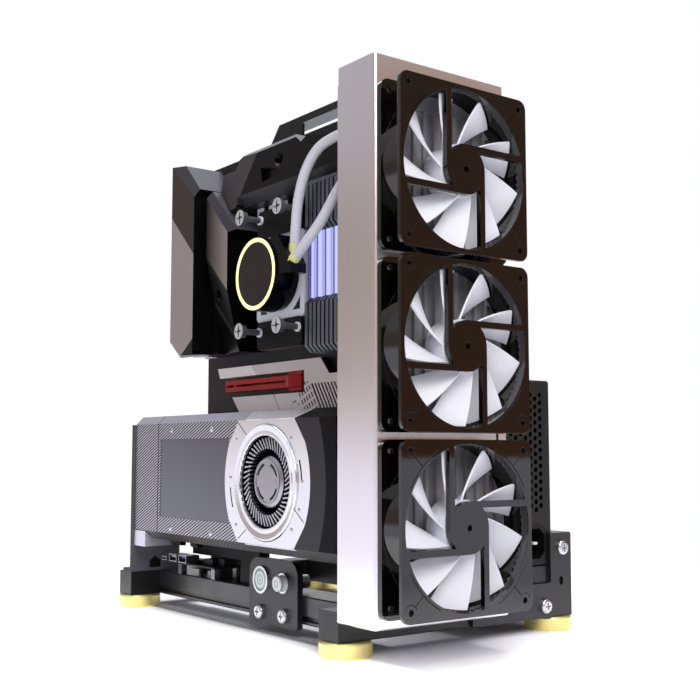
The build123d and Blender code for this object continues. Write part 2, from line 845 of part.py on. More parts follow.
def io_cover():
    """A tall faceted cover: two ridges with a channel between, over the plug sockets."""
    left_ridge = [(0, 124), (0, 303), (20, 301.1), (48.4, 273.7), (42.5, 267), (42.2, 124)]
    right_ridge = [(55, 124), (55, 264), (61.4, 269.6), (103, 228.8), (92, 227.5), (92, 124)]
    channel = [(42, 124), (42, 266), (48, 273.2), (60.8, 268.6), (55.6, 264), (55.6, 124)]

    def raised(outline, height):
        return prism_y([on_board(u, v) for u, v in outline], above_board(height), board_front_y)

    left = raised(left_ridge, port_cover_height)
    left = folded(left, ((0, 303), (42.5, 267)), port_cover_height, ridge_fall)
    right = raised(right_ridge, port_ridge_height)
    right = folded(right, ((91, 177.5), (55.6, 209.8)), port_ridge_height, 0.33)
    right = folded(right, ((55, 264), (92, 227.5)), port_ridge_height, ridge_fall)
    cover = left + right + raised(channel, port_channel_height)
    tunnel_low, tunnel_high = board_bottom + 124.0, board_bottom + 258.0
    cover -= block(
        board_left_x, board_left_x + 24.0, above_board(port_channel_height + 4.0), board_front_y,
        tunnel_low, tunnel_high,
    )
    front = above_board(port_cover_height)
    plane = Plane(origin=(0, front, 0), x_dir=(1, 0, 0), z_dir=(0, -1, 0))
    low_x, foot_z = on_board(0, 124)
    high_x = on_board(42.2, 124)[0]
    for x, tip in ((low_x, low_x + 21.0), (high_x, low_x + 21.0)):
        corner = plane * make_face(Polyline((x, foot_z), (tip, foot_z), (x, foot_z + 14.0), close=True))
        cover -= loft([corner, Vertex(x, front + 11.0, foot_z)])
    hole_x, hole_z = on_board(69.8, 175)
    return cover - rod_y(
        hole_x, hole_z, 11.0, above_board(port_ridge_height), above_board(port_channel_height)
    )


def vrm_cover():
    """The power stage's cover: a folded left end, a lower bevel, a notch and two pockets."""
    outline = [
        (61.9, 270.2), (65, 285.5), (90, 284), (96, 292), (107, 295), (183.5, 295), (196, 285.5), (205, 289),
        (225, 284), (250, 284), (250, 250), (97, 250), (84.5, 248),
    ]
    front = above_board(power_cover_height)
    cover = prism_y([on_board(u, v) for u, v in outline], front, board_front_y)
    fold = ((103.2, 258.8), (130.4, 291.6))
    cover = folded(cover, fold, power_cover_height, 0.125)
    lower_x, lower_z = on_board(97, 250)
    bevel = 8.5
    cover -= prism_x(
        [(front, lower_z), (front + bevel, lower_z), (front, lower_z + bevel)], lower_x, board_right_x
    )
    upper_x, upper_z = on_board(100, 295)
    edge = bevel / 2
    cover -= prism_x(
        [(front, upper_z), (front + edge, upper_z), (front, upper_z - edge)], upper_x, board_right_x
    )
    x, z = on_board(164, 278)
    pocket = 5.0
    cover -= rod_y(x, z, 12.0, front, front + pocket)
    recess = [(136, 276), (157, 273), (168, 266), (138, 263)]
    cover -= prism_y([on_board(u, v) for u, v in recess], front, front + pocket)
    return cover


def chipset_plate():
    front = above_board(chipset_height)
    outline = [
        (30, 112.5), (193, 112.5), (205, 99), (263, 99), (263, 37), (100, 37), (56, 85.5),
        (170, 85.5), (170, 103.5), (34, 103.5),
    ]
    plate = prism_y([on_board(u, v) for u, v in outline], front, board_front_y)
    groove = 1.6
    seam = [(123, 86.5), (124.5, 86.5), (158, 37), (156.5, 37)]
    plate -= prism_y([on_board(u, v) for u, v in seam], front, front + groove)
    for step in range(9):
        u = 180.0 + 4.4 * step
        slit = [(u, 92), (u + 2.2, 92), (u + 16.2, 70), (u + 14, 70)]
        plate -= prism_y([on_board(a, b) for a, b in slit], front, front + groove)
    return plate


# Expansion slot with its end latch

slot_left, slot_right, slot_low, slot_high = 51.0, 152.0, 90.0, 100.0
latch_right = 168.0
latch_ear = 2.4
latch_pin = 2.0
latch_turn = 16.0
latch_axis_u = 162.0
latch_axis_height = 4.0


def pcie_slot():
    front = above_board(expansion_height)
    low_x, low_z = on_board(slot_left, slot_low)
    high_x, high_z = on_board(slot_right, slot_high)
    slot = block(low_x, high_x, front, board_front_y, low_z, high_z)
    middle = (low_z + high_z) / 2
    for u0, u1 in ((slot_left + 3, slot_left + 15), (slot_left + 18, slot_right - 4)):
        slot -= block(
            on_board(u0, 0)[0], on_board(u1, 0)[0], front, front + 8.0, middle - 1.0, middle + 1.0
        )
    end_x = on_board(latch_right, 0)[0]
    for ear_low in (low_z - latch_ear - face_gap, high_z + face_gap):
        slot += block(
            high_x - 3.0, end_x, above_board(expansion_height - 3.0), board_front_y,
            ear_low, ear_low + latch_ear,
        )
        slot += block(
            high_x - 3.0, high_x, above_board(expansion_height - 3.0), board_front_y,
            min(ear_low, high_z - 1.0), max(ear_low + latch_ear, low_z + 1.0),
        )
    pin_x = on_board(latch_axis_u, 0)[0]
    hole = latch_pin + 2 * shaft_gap
    return slot - rod_z(
        pin_x, above_board(latch_axis_height), hole,
        low_z - latch_ear - face_gap, high_z + latch_ear + face_gap,
    )


def pcie_latch():
    """A lever between the slot's ears, on a cross pin."""
    low_z, high_z = board_bottom + slot_low, board_bottom + slot_high
    lever = [
        (slot_right + 0.6, 8.4), (slot_right + 0.6, 13.0), (slot_right + 5.0, 14.0),
        (latch_right - 1.0, 7.5), (latch_right - 1.0, 2.4), (slot_right + 7.0, 2.4),
    ]
    points = [(board_left_x + u, above_board(h)) for u, h in lever]
    face = Plane.XY.offset(low_z) * make_face(Polyline(*points, close=True))
    latch = extrude(face, high_z - low_z, dir=(0, 0, 1))
    reach = latch_ear / 2 + face_gap
    return latch + rod_z(
        on_board(latch_axis_u, 0)[0], above_board(latch_axis_height), latch_pin,
        low_z - reach, high_z + reach,
    )


# Cooler

pump_axis_x, pump_axis_z = on_board(pump_x, pump_z)
pump_front_y = above_board(pump_height)
cooler_bolts = [
    (
        pump_axis_x + cooler_bolt_shift + side * cooler_spacing_x / 2,
        pump_axis_z + cooler_bolt_rise + level * cooler_spacing_z / 2,
    )
    for side in (-1, 1) for level in (-1, 1)
]


def processor():
    half = processor_size / 2
    carrier = block(
        pump_axis_x - half, pump_axis_x + half, above_board(processor_height / 2), board_front_y,
        pump_axis_z - half, pump_axis_z + half,
    )
    lid = half * 0.7
    return carrier + block(
        pump_axis_x - lid, pump_axis_x + lid, above_board(processor_height), board_front_y,
        pump_axis_z - lid, pump_axis_z + lid,
    )


def cooler_frame():
    half = cooler_frame_size / 2
    frame = block(
        pump_axis_x - half, pump_axis_x + half, above_board(cooler_frame_top),
        above_board(cooler_frame_bottom), pump_axis_z - half, pump_axis_z + half,
    )
    frame = chamfer(frame.edges().filter_by(Axis.Y), radiator_edge)
    opening = pump_neck + 2 * face_gap
    return frame - rod_y(
        pump_axis_x, pump_axis_z, opening, above_board(cooler_frame_top), above_board(cooler_frame_bottom)
    )


def cooler_bars():
    """Bars above and below the cooler's frame, which the long screws pull down."""
    bars = []
    half_x = cooler_spacing_x / 2 + cooler_bar_overhang
    inner = cooler_frame_size / 2
    hole = cooler_screw_shank + 2 * face_gap
    for side in (-1, 1):
        edges = sorted((pump_axis_z + side * inner, pump_axis_z + side * (inner + cooler_bar_height)))
        bar = block(
            pump_axis_x + cooler_bolt_shift - half_x, pump_axis_x + cooler_bolt_shift + half_x,
            above_board(cooler_bar_top),
            above_board(cooler_bar_bottom), *edges,
        )
        bar = chamfer(bar.edges().filter_by(Axis.Y), radiator_edge)
        for x, z in cooler_bolts:
            bar -= rod_y(x, z, hole, above_board(cooler_bar_top), above_board(cooler_bar_bottom))
        bars += bar.solids()
    return Compound(bars)


def cooler_screws():
    screws = []
    head_depth, flange = 4.0, 1.4
    for x, z in cooler_bolts:
        top = above_board(cooler_screw_top)
        screw = rod_y(x, z, cooler_screw_head, top, top + flange)
        screw += rod_y(x, z, cooler_screw_head * 0.8, top + flange, top + flange + head_depth)
        screw += rod_y(x, z, cooler_screw_shank, top + flange + head_depth, board_front_y)
        slot = cooler_screw_head * 0.4
        screw -= block(x - slot, x + slot, top, top + flange / 2, z - 0.6, z + 0.6)
        screw -= block(x - 0.6, x + 0.6, top, top + flange / 2, z - slot, z + slot)
        screws += screw.solids()
    return Compound(screws)


# Cooler tubes: from the pump's slanted block to the radiator's back

upper_start = Vector(pump_axis_x + 42.4, pump_front_y + 9.5, pump_axis_z + 19.2)
upper_end = Vector(casing_back_x - 9.7, casing_low_y + 27.0, casing_top - 35.6)
lower_start = Vector(pump_axis_x + 51.4, pump_front_y + 5.5, pump_axis_z + 8.7)
swivel = Vector(casing_back_x - 7.0, casing_low_y + 28.0, casing_top - 53.5)
swivel_heading = Vector(0.42, 0.3, 0.86).normalized()
lower_end = swivel - swivel_heading * 14.5


def route(start, end, shares):
    """Points of a hose, as shares of the way from its start to its end along X, Y and Z."""
    span = end - start
    return [
        start + Vector(span.X * along_x, span.Y * along_y, span.Z * along_z)
        for along_x, along_y, along_z in shares
    ]


upper_route = route(
    upper_start, upper_end,
    [
        (0, 0, 0), (0.03, -0.04, 0.13), (0.07, -0.08, 0.34), (0.15, -0.08, 0.55), (0.26, 0, 0.73),
        (0.43, 0.2, 0.89), (0.6, 0.68, 0.97), (0.8, 1, 1), (1, 1, 1),
    ],
)
lower_route = route(
    lower_start, lower_end,
    [
        (0, 0, 0), (0.18, -0.04, 0.09), (0.38, 0, 0.21), (0.57, 0.11, 0.35), (0.7, 0.29, 0.52),
        (0.8, 0.53, 0.7),
    ],
)
lower_route += [swivel - swivel_heading * 22.0, lower_end]
collar_length = 7.5


def collar(points):
    """The sleeve's near end and far end, in line with the hose's first run."""
    heading = (points[1] - points[0]).normalized()
    return (points[0] - heading * collar_length, points[0])


def tube_block():
    """The slanted block at the pump's side that both tubes leave."""
    low_x, high_x = pump_axis_x + 20.0, pump_axis_x + 49.4
    low_z, high_z = pump_axis_z - 4.3, pump_axis_z + 27.7
    points = [
        (low_x, low_z), (high_x, low_z), (high_x, low_z + 7.0), (low_x + 10.0, high_z), (low_x, high_z),
    ]
    return prism_y(points, pump_front_y + 1.5, pump_front_y + 15.5)


def pump_housing():
    barrel_back = pump_front_y + pump_barrel
    plate_front = above_board(processor_height + cold_plate_height)
    plate_back = above_board(processor_height)
    body = rod_y(pump_axis_x, pump_axis_z, pump_diameter, pump_front_y, barrel_back)
    body = chamfer(body.edges().filter_by(GeomType.CIRCLE).sort_by(Axis.Y)[-1], radiator_wall)
    body += rod_y(pump_axis_x, pump_axis_z, pump_neck, barrel_back, plate_front)
    half = pump_base / 2
    body += block(
        pump_axis_x - half, pump_axis_x + half, plate_front, plate_back,
        pump_axis_z - half, pump_axis_z + half,
    )
    body += tube_block()
    groove = rod_y(pump_axis_x, pump_axis_z, ring_outer, pump_front_y, pump_front_y + ring_depth)
    groove -= rod_y(pump_axis_x, pump_axis_z, ring_inner, pump_front_y, pump_front_y + ring_depth)
    body -= groove
    for points in (upper_route, lower_route):
        body -= rod_between(*collar(points), collar_diameter)
    return body


def pump_ring():
    ring = rod_y(pump_axis_x, pump_axis_z, ring_outer, pump_front_y - face_gap, pump_front_y + ring_depth)
    return ring - rod_y(
        pump_axis_x, pump_axis_z, ring_inner, pump_front_y - face_gap, pump_front_y + ring_depth
    )


def tube_fittings():
    """Collars at the pump, a straight barb and a swivel elbow at the radiator."""
    pieces = [rod_between(*collar(points), collar_diameter) for points in (upper_route, lower_route)]
    end = upper_route[-1]
    barb = rod_x(end.Y, end.Z, collar_diameter, end.X, casing_back_x)
    barb += rod_x(end.Y, end.Z, collar_diameter * 1.4, casing_back_x - 4.0, casing_back_x)
    pieces.append(barb)
    elbow = rod_x(swivel.Y, swivel.Z, collar_diameter * 1.4, casing_back_x - 14.0, casing_back_x)
    elbow += rod_between(lower_end, swivel, collar_diameter)
    pieces.append(elbow)
    return Compound([solid for piece in pieces for solid in piece.solids()])


def tube(points):
    """A hose along straight runs joined by the largest arcs that they allow."""
    radii = []
    for before, corner, after in zip(points, points[1:], points[2:]):
        run_in, run_out = corner - before, after - corner
        turn = radians(run_in.get_angle(run_out))
        radii.append(0.45 * min(run_in.length, run_out.length) / tan(turn / 2))
    path = FilletPolyline(*points, radius=radii)
    section = Plane(origin=points[0], z_dir=points[1] - points[0]) * Circle(tube_diameter / 2)
    return sweep(section, path=path)


# Memory

light_low = memory_bottom + (module_length - module_light_length) / 2
light_high = light_low + module_light_length
module_back_y = above_board(socket_height + face_gap)
module_front_y = module_back_y - module_height


def memory_module(x):
    """Two heat spreaders with a gap, stepped back at the middle and at both ends."""
    edge, recess = module_edge, module_light_recess
    front, back = module_front_y, module_back_y
    profile = [
        (back, memory_bottom), (front + edge, memory_bottom), (front, memory_bottom + edge),
        (front, light_low - recess), (front + recess, light_low), (front + recess, light_high),
        (front, light_high + recess), (front, memory_top - edge), (front + edge, memory_top),
        (back, memory_top),
    ]
    half = module_thickness / 2
    module = prism_x(profile, x - half, x + half)
    return module - block(
        x - module_groove / 2, x + module_groove / 2, front, front + 3 * recess, memory_bottom, memory_top
    )


def memory_lights():
    """A light bar in the gap of each module, flush with its stepped-back middle."""
    bars = []
    half = module_groove / 2
    front = module_front_y + module_light_recess
    for x in memory_x:
        bar = block(
            x - half, x + half, front, front + 2 * module_light_recess, light_low, light_high
        )
        bar += block(
            x - module_thickness / 2, x + module_thickness / 2, front - 1.2, front, light_low, light_high
        )
        bars += bar.solids()
    return Compound(bars)


# Graphics card


def card_profile(inset=0.0):
    """The card's section in Y and Z, with bevelled front edges, drawn in by an inset."""
    low, high = card_bottom + inset, card_top - inset
    front = card_front_y + inset
    return [
        (front, low + card_bevel), (front + card_bevel, low), (card_back_y, low), (card_back_y, high),
        (front + card_bevel, high), (front, high - card_bevel),
    ]


def card_frame_face(grow=0.0):
    """Outline of the fan's frame: straight ends, slanted shoulders and bowed sides."""
    x, z = blower_axis_x, blower_axis_z
    end = card_frame_end + grow
    waist = card_frame_waist + grow
    bow = card_frame_half_width + grow
    shoulder = card_frame_shoulder
    top = card_height / 2 - card_bevel
    right = [
        Polyline((x - end, z - top), (x + end, z - top), (x + waist, z - shoulder)),
        ThreePointArc((x + waist, z - shoulder), (x + bow, z), (x + waist, z + shoulder)),
        Polyline(
            (x + waist, z + shoulder), (x + end, z + top), (x - end, z + top), (x - waist, z + shoulder)
        ),
        ThreePointArc((x - waist, z + shoulder), (x - bow, z), (x - waist, z - shoulder)),
        Line((x - waist, z - shoulder), (x - end, z - top)),
    ]
    plane = Plane(origin=(0, card_front_y, 0), x_dir=(1, 0, 0), z_dir=(0, -1, 0))
    return plane * make_face(right)


window_low_z = card_bottom + card_bevel + window_margin
window_high_z = card_top - card_bevel - window_margin
window_left_x = card_left_x + window_left
window_right_x = window_left_x + window_width
cavity_back_y = card_front_y + blower_recess + blower_depth + 2.0


card_ports = ((0.3, 38.0), (0.56, 15.0), (0.7, 14.0), (0.84, 14.0))
socket_wall = 1.0
socket_reach = 1.5
socket_depth = 11.0


def card_sockets(low_x, high_x, inset):
    """The row of plug sockets at the card's left end, drawn in by an inset."""
    sockets = []
    for share, length in card_ports:
        z, half = card_bottom + share * card_height, length / 2 - inset
        sockets.append(
            block(low_x, high_x, card_back_y - 12.0 + inset, card_back_y - 1.0 - inset, z - half, z + half)
        )
    return sockets


def gpu_shroud():
    """The black housing, with a step where the trim lies and the blower's chamber."""
    shroud = prism_x(card_profile(), card_left_x, card_right_x)
    step = prism_x(card_profile(), card_left_x, card_left_x + trim_length)
    step -= prism_x(card_profile(trim_thickness), card_left_x, card_left_x + trim_length)
    shroud -= step
    shroud -= extrude(card_frame_face(), trim_thickness, dir=(0, 1, 0))
    shroud -= rod_y(
        blower_axis_x, blower_axis_z, blower_opening + 4.0, card_front_y, cavity_back_y
    )
    shroud -= rod_y(
        blower_axis_x, blower_axis_z, blower_shaft + 2 * shaft_gap, cavity_back_y, cavity_back_y + 6.0
    )
    outer_x = left_inner_x - socket_reach
    shroud += card_sockets(outer_x, card_left_x, 0.0)
    return shroud - card_sockets(outer_x, outer_x + socket_depth, socket_wall)


def gpu_trim():
    """A thin sheet round the card's left part, cut out for the window and the frame."""
    high_x = card_left_x + trim_length
    sheet = prism_x(card_profile(), card_left_x, high_x)
    sheet -= prism_x(card_profile(trim_thickness), card_left_x, high_x)
    sheet -= block(
        window_left_x, window_right_x, card_front_y, card_front_y + trim_thickness,
        window_low_z, window_high_z,
    )
    sheet -= extrude(card_frame_face(), trim_thickness, dir=(0, 1, 0))
    return max(sheet.solids(), key=lambda solid: solid.volume)


def gpu_window():
    pane = block(
        window_left_x, window_right_x, card_front_y + window_recess, card_front_y + trim_thickness,
        window_low_z, window_high_z,
    )
    return pane - extrude(card_frame_face(), trim_thickness, dir=(0, 1, 0))


def gpu_fan_frame():
    frame = extrude(card_frame_face(), trim_thickness, dir=(0, 1, 0))
    proud = card_frame_thickness - trim_thickness
    lip = rod_y(blower_axis_x, blower_axis_z, blower_opening + 16.0, card_front_y - proud, card_front_y)
    frame += lip
    return frame - rod_y(
        blower_axis_x, blower_axis_z, blower_opening, card_front_y - proud, card_front_y + trim_thickness
    )


def gpu_blower_wheel():
    """A drum of slanted blades on a disc, with the motor's cup in its middle."""
    front = card_front_y + blower_recess
    back = front + blower_depth
    radius = blower_wheel / 2
    wheel = rod_y(blower_axis_x, blower_axis_z, blower_wheel, back - 1.6, back)
    ring = rod_y(blower_axis_x, blower_axis_z, blower_wheel, front + 4.0, front + 5.4)
    wheel += ring - rod_y(blower_axis_x, blower_axis_z, blower_wheel - 4.0, front + 4.0, front + 5.4)
    length = 9.5
    vane = Rot(0, 0, 28) * Rectangle(length, 1.1)
    vanes = PolarLocations(radius - length / 2 - 0.4, blower_blades) * vane
    plane = Plane(origin=(blower_axis_x, front, blower_axis_z), x_dir=(1, 0, 0), z_dir=(0, -1, 0))
    wheel += extrude(plane * Sketch(children=vanes), blower_depth, dir=(0, 1, 0))
    cup = rod_y(blower_axis_x, blower_axis_z, blower_hub, front + 0.6, back)
    rim = cup.edges().filter_by(GeomType.CIRCLE).sort_by(Axis.Y)[0]
    wheel += chamfer(rim, 2.0)
    return wheel + rod_y(blower_axis_x, blower_axis_z, blower_shaft, back, cavity_back_y + 5.0)


card_board_back_y = card_back_y + card_board_thickness


def gpu_board():
    """Circuit board behind the shroud, with the edge tongue that plugs into the riser."""
    left, right = card_left_x, card_right_x - 20.0
    board = block(left, right, card_back_y, card_board_back_y, card_bottom, card_top)
    tongue_x = left + card_edge_offset
    return board + block(
        tongue_x, tongue_x + card_edge_length, card_back_y, card_board_back_y,
        card_bottom - card_edge_drop, card_bottom,
    )


def gpu_bracket():
    """Steel slot bracket with plug openings and a tab folded over the mount plate."""
    top = rail_top + mount_plate_height
    low_y = card_front_y + card_bevel
    sheet = block(left_inner_x, card_left_x, low_y, card_board_back_y, card_bottom - card_edge_drop, top)
    sheet += block(
        left_inner_x - mount_plate_thickness - mount_flange / 2, card_left_x,
        card_back_y - mount_flange, card_board_back_y, top, top + slot_bracket_thickness,
    )
    return sheet - card_sockets(left_inner_x, card_left_x, -face_gap)


def gpu_mount_plate():
    """Folded upright on the left rail, which the card's bracket is screwed to."""
    outer_x = left_inner_x - mount_plate_thickness
    high_y = front_y + mount_plate_depth
    top = rail_top + mount_plate_height
    sheet = block(outer_x, left_inner_x, front_y, high_y, rail_top, top)
    sheet += block(
        outer_x - mount_flange, left_inner_x, front_y, high_y, rail_top, rail_top + mount_plate_thickness
    )
    window_low = card_bottom + card_bevel
    window_high = card_top - card_bevel
    sheet -= block(
        outer_x, left_inner_x, card_back_y - 16.0, card_back_y + 3.0, window_low, window_high
    )
    y, z = front_y + 18.7, rail_top + mount_plate_thickness
    house = [(y, z), (y + 11.5, z), (y + 11.5, z + 6.5), (y + 5.75, z + 10.5), (y, z + 6.5)]
    return sheet - prism_x(house, outer_x + mount_plate_thickness / 3, left_inner_x)


def gpu_support_block():
    """A wedge-topped block on the mount plate that the card's lower edge rests on."""
    low_z = card_bottom - support_height / 2
    low_y = card_front_y
    high_y = low_y + support_depth
    profile = [
        (low_y, low_z), (high_y, low_z), (high_y, card_bottom - face_gap),
        (low_y + card_bevel + face_gap, card_bottom - face_gap),
        (low_y, card_bottom + card_bevel - 2 * face_gap),
    ]
    return prism_x(profile, card_left_x, card_left_x + support_width - mount_plate_thickness)


def riser_slot():
    """Socket under the card's edge tongue, on a leg that stands on the front rail."""
    tongue_x = card_left_x + card_edge_offset
    middle_y = (card_back_y + card_board_back_y) / 2
    low_y, high_y = middle_y - riser_depth / 2, middle_y + riser_depth / 2
    top = card_bottom - face_gap
    slot = block(
        tongue_x - 5.0, tongue_x + card_edge_length + 6.0, low_y, high_y, top - riser_height, top
    )
    leg_x = tongue_x + card_edge_length - riser_leg_width / 4
    slot += block(leg_x, leg_x + riser_leg_width, low_y, high_y, rail_top, top)
    return slot - block(
        tongue_x - face_gap, tongue_x + card_edge_length + face_gap, card_back_y - face_gap,
        card_board_back_y + face_gap, card_bottom - card_edge_drop - face_gap, top,
    )


# Front hub

hub_left_x = left_inner_x + hub_board_left
hub_front_y = front_rail_y - hub_board_overhang
hub_bottom = rail_top + hub_standoff_height
hub_top = hub_bottom + hub_board_thickness
hub_posts = (17.0, 77.6)


def hub_board():
    board = block(
        hub_left_x, hub_left_x + hub_board_length, hub_front_y, hub_front_y + hub_board_depth,
        hub_bottom, hub_top,
    )
    chips = ((50.0, 16.0, 10.0, 3.0), (63.0, 14.0, 16.0, 5.0), (82.0, 18.0, 10.0, 6.0))
    for start, depth, length, height in chips:
        x, y = hub_left_x + start, hub_front_y + depth
        board += block(x, x + length, y - 6.0, y + 6.0, hub_top, hub_top + height)
    return board


def hub_ports():
    """One small and two large plug shells, open towards the front."""
    shells = []
    wall = 0.7
    for start, width, height in ((2.0, 9.4, 3.6), (16.0, 14.0, 6.6), (34.0, 14.0, 6.6)):
        x = hub_left_x + start
        front, back = hub_front_y - 1.5, hub_front_y + 12.0
        shell = block(x, x + width, front, back, hub_top, hub_top + height)
        shell -= block(
            x + wall, x + width - wall, front, back - wall, hub_top + wall, hub_top + height - wall
        )
        tongue = hub_top + height * 0.55
        shell += block(x + 2 * wall, x + width - 2 * wall, front + 2.0, back, tongue, tongue + 2 * wall)
        shells += shell.solids()
    return Compound(shells)


def hub_standoffs():
    posts = []
    for start in hub_posts:
        for y in (front_rail_y + hub_standoff / 2, front_rail_y + hub_board_depth - 3 * hub_standoff / 2):
            x = hub_left_x + start
            posts += block(
                x - hub_standoff / 2, x + hub_standoff / 2, y - hub_standoff / 2, y + hub_standoff / 2,
                rail_top, hub_bottom,
            ).solids()
    return Compound(posts)


# Export


def export_base():
    save("left_cross_rail", cross_rail(left_rail_x))
    save("right_cross_rail", screw_holes(cross_rail(right_rail_x)))
    save("front_rail", screw_holes(long_rail(front_rail_y, -1)))
    save("rear_rail", long_rail(rear_rail_y, 1))
    save("feet", feet())
    save("button_panel", button_panel())
    bezels = (
        button_bezel(power_x, power_button, power_cap),
        button_bezel(reset_x, reset_button, reset_cap),
    )
    save("button_bezels", Compound([solid for bezel in bezels for solid in bezel.solids()]))
    save("power_button_cap", button_cap(power_x, power_cap, 0.0, power_travel))
    save("reset_button_cap", button_cap(reset_x, reset_cap, reset_reach, reset_travel))
    save("frame_screws", frame_screws())


def export_supply():
    save("psu_case", psu_case())
    save("psu_inlet", psu_inlet())
    save("psu_switch", psu_switch())
    wheel = rotor(
        supply_fan_bore / 2 - tip_gap, supply_fan_hub, supply_fan_depth - 5.0, supply_fan_blades,
        rotor_end + 1.0,
    )
    wheel += rod_x(0, 0, fan_shaft, rotor_end - 8.0, rotor_end)
    turned = Pos(supply_fan_x, supply_high_y - supply_fan_depth, supply_fan_z) * Rot(0, 0, 90) * wheel
    save("psu_fan_rotor", turned)
    save("psu_fan_guard", psu_fan_guard())
    save("psu_holder", psu_holder())
    save("psu_saddles", psu_saddles())


def export_radiator():
    save("radiator_casing", radiator_casing())
    save("radiator_core", radiator_core())
    frame = fan_frame()
    rotor_depth = fan_depth - strut_depth - 1.4
    wheel = rotor(
        fan_bore / 2 - tip_gap, rotor_hub, rotor_depth, blade_count, fan_depth - strut_depth / 2 - face_gap
    )
    for name, z in zip(("lower", "middle", "upper"), fan_z):
        place = Pos(casing_front_x, fan_y, z)
        save(f"fan_frame_{name}", place * frame)
        save(f"fan_rotor_{name}", place * wheel)


def export_mainboard():
    save("motherboard_tray", motherboard_tray())
    save("motherboard", motherboard())
    save("rear_io_ports", rear_io_ports())
    save("io_cover", io_cover())
    save("vrm_cover", vrm_cover())
    save("chipset_plate", chipset_plate())
    save("pcie_slot", pcie_slot())
    save("pcie_latch", pcie_latch())
    save("processor", processor())
    for number, x in enumerate(memory_x, start=1):
        save(f"memory_module_{number}", memory_module(x))
    save("memory_lights", memory_lights())


def export_cooler():
    save("cooler_frame", cooler_frame())
    save("cooler_bars", cooler_bars())
    save("cooler_screws", cooler_screws())
    save("pump_housing", pump_housing())
    save("pump_ring", pump_ring())
    save("tube_fittings", tube_fittings())
    save("tube_upper", tube(upper_route))
    save("tube_lower", tube(lower_route))


def export_card():
    save("gpu_mount_plate", gpu_mount_plate())
    save("gpu_support_block", gpu_support_block())
    save("gpu_shroud", gpu_shroud())
    save("gpu_trim", gpu_trim())
    save("gpu_window", gpu_window())
    save("gpu_fan_frame", gpu_fan_frame())
    save("gpu_blower_wheel", gpu_blower_wheel())
    save("gpu_board", gpu_board())
    save("gpu_bracket", gpu_bracket())
    save("riser_slot", riser_slot())
    save("hub_board", hub_board())
    save("hub_ports", hub_ports())
    save("hub_standoffs", hub_standoffs())


os.makedirs("parts", exist_ok=True)
export_base()
export_supply()
export_radiator()
export_mainboard()
export_cooler()
export_card()
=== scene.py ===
import math

import bmesh
import bpy
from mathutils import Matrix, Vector


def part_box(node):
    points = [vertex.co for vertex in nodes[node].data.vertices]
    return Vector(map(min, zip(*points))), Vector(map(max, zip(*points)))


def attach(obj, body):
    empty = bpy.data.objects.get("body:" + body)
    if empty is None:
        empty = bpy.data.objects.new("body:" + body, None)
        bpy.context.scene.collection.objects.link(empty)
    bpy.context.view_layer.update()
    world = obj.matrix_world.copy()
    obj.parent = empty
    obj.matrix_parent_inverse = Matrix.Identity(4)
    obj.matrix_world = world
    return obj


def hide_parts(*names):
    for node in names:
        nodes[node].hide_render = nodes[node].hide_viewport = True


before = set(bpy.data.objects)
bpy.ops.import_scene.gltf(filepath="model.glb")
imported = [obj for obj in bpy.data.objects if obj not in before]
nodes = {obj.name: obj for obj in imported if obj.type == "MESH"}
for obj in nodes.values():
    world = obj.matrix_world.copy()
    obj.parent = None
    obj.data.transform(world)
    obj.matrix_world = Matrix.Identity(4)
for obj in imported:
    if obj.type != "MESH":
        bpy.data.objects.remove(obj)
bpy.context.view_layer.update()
BENCH = "bench"
FANS = ("lower", "middle", "upper")
FAN_HOLE = 52.5  # each way from a fan's middle to its corner holes


# Places, in millimetres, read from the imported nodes


def span(node):
    low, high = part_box(node)
    return [1000 * v for v in low], [1000 * v for v in high]


def middle(node):
    low, high = span(node)
    return [(a + b) / 2 for a, b in zip(low, high)]


board_low, board_high = span("motherboard")
board_front = span("io_cover")[1][1]
supply_low, supply_high = span("psu_case")
casing_low, casing_high = span("radiator_casing")
pump_x, _, pump_z = middle("pump_ring")
blower_x, _, blower_z = middle("gpu_blower_wheel")
wheel_front = span("gpu_blower_wheel")[0][1]
lip_front = span("gpu_fan_frame")[0][1]
card_front = span("gpu_trim")[0][1]
shroud_left = span("gpu_shroud")[0][0]


def on_board(u, v):
    """A place on the mainboard, from its lower left corner, as X and Z."""
    return board_low[0] + u, board_low[2] + v


# Looks


def srgb(red, green, blue):
    def linear(value):
        value /= 255
        return value / 12.92 if value <= 0.04045 else ((value + 0.055) / 1.055) ** 2.4

    return linear(red), linear(green), linear(blue), 1.0


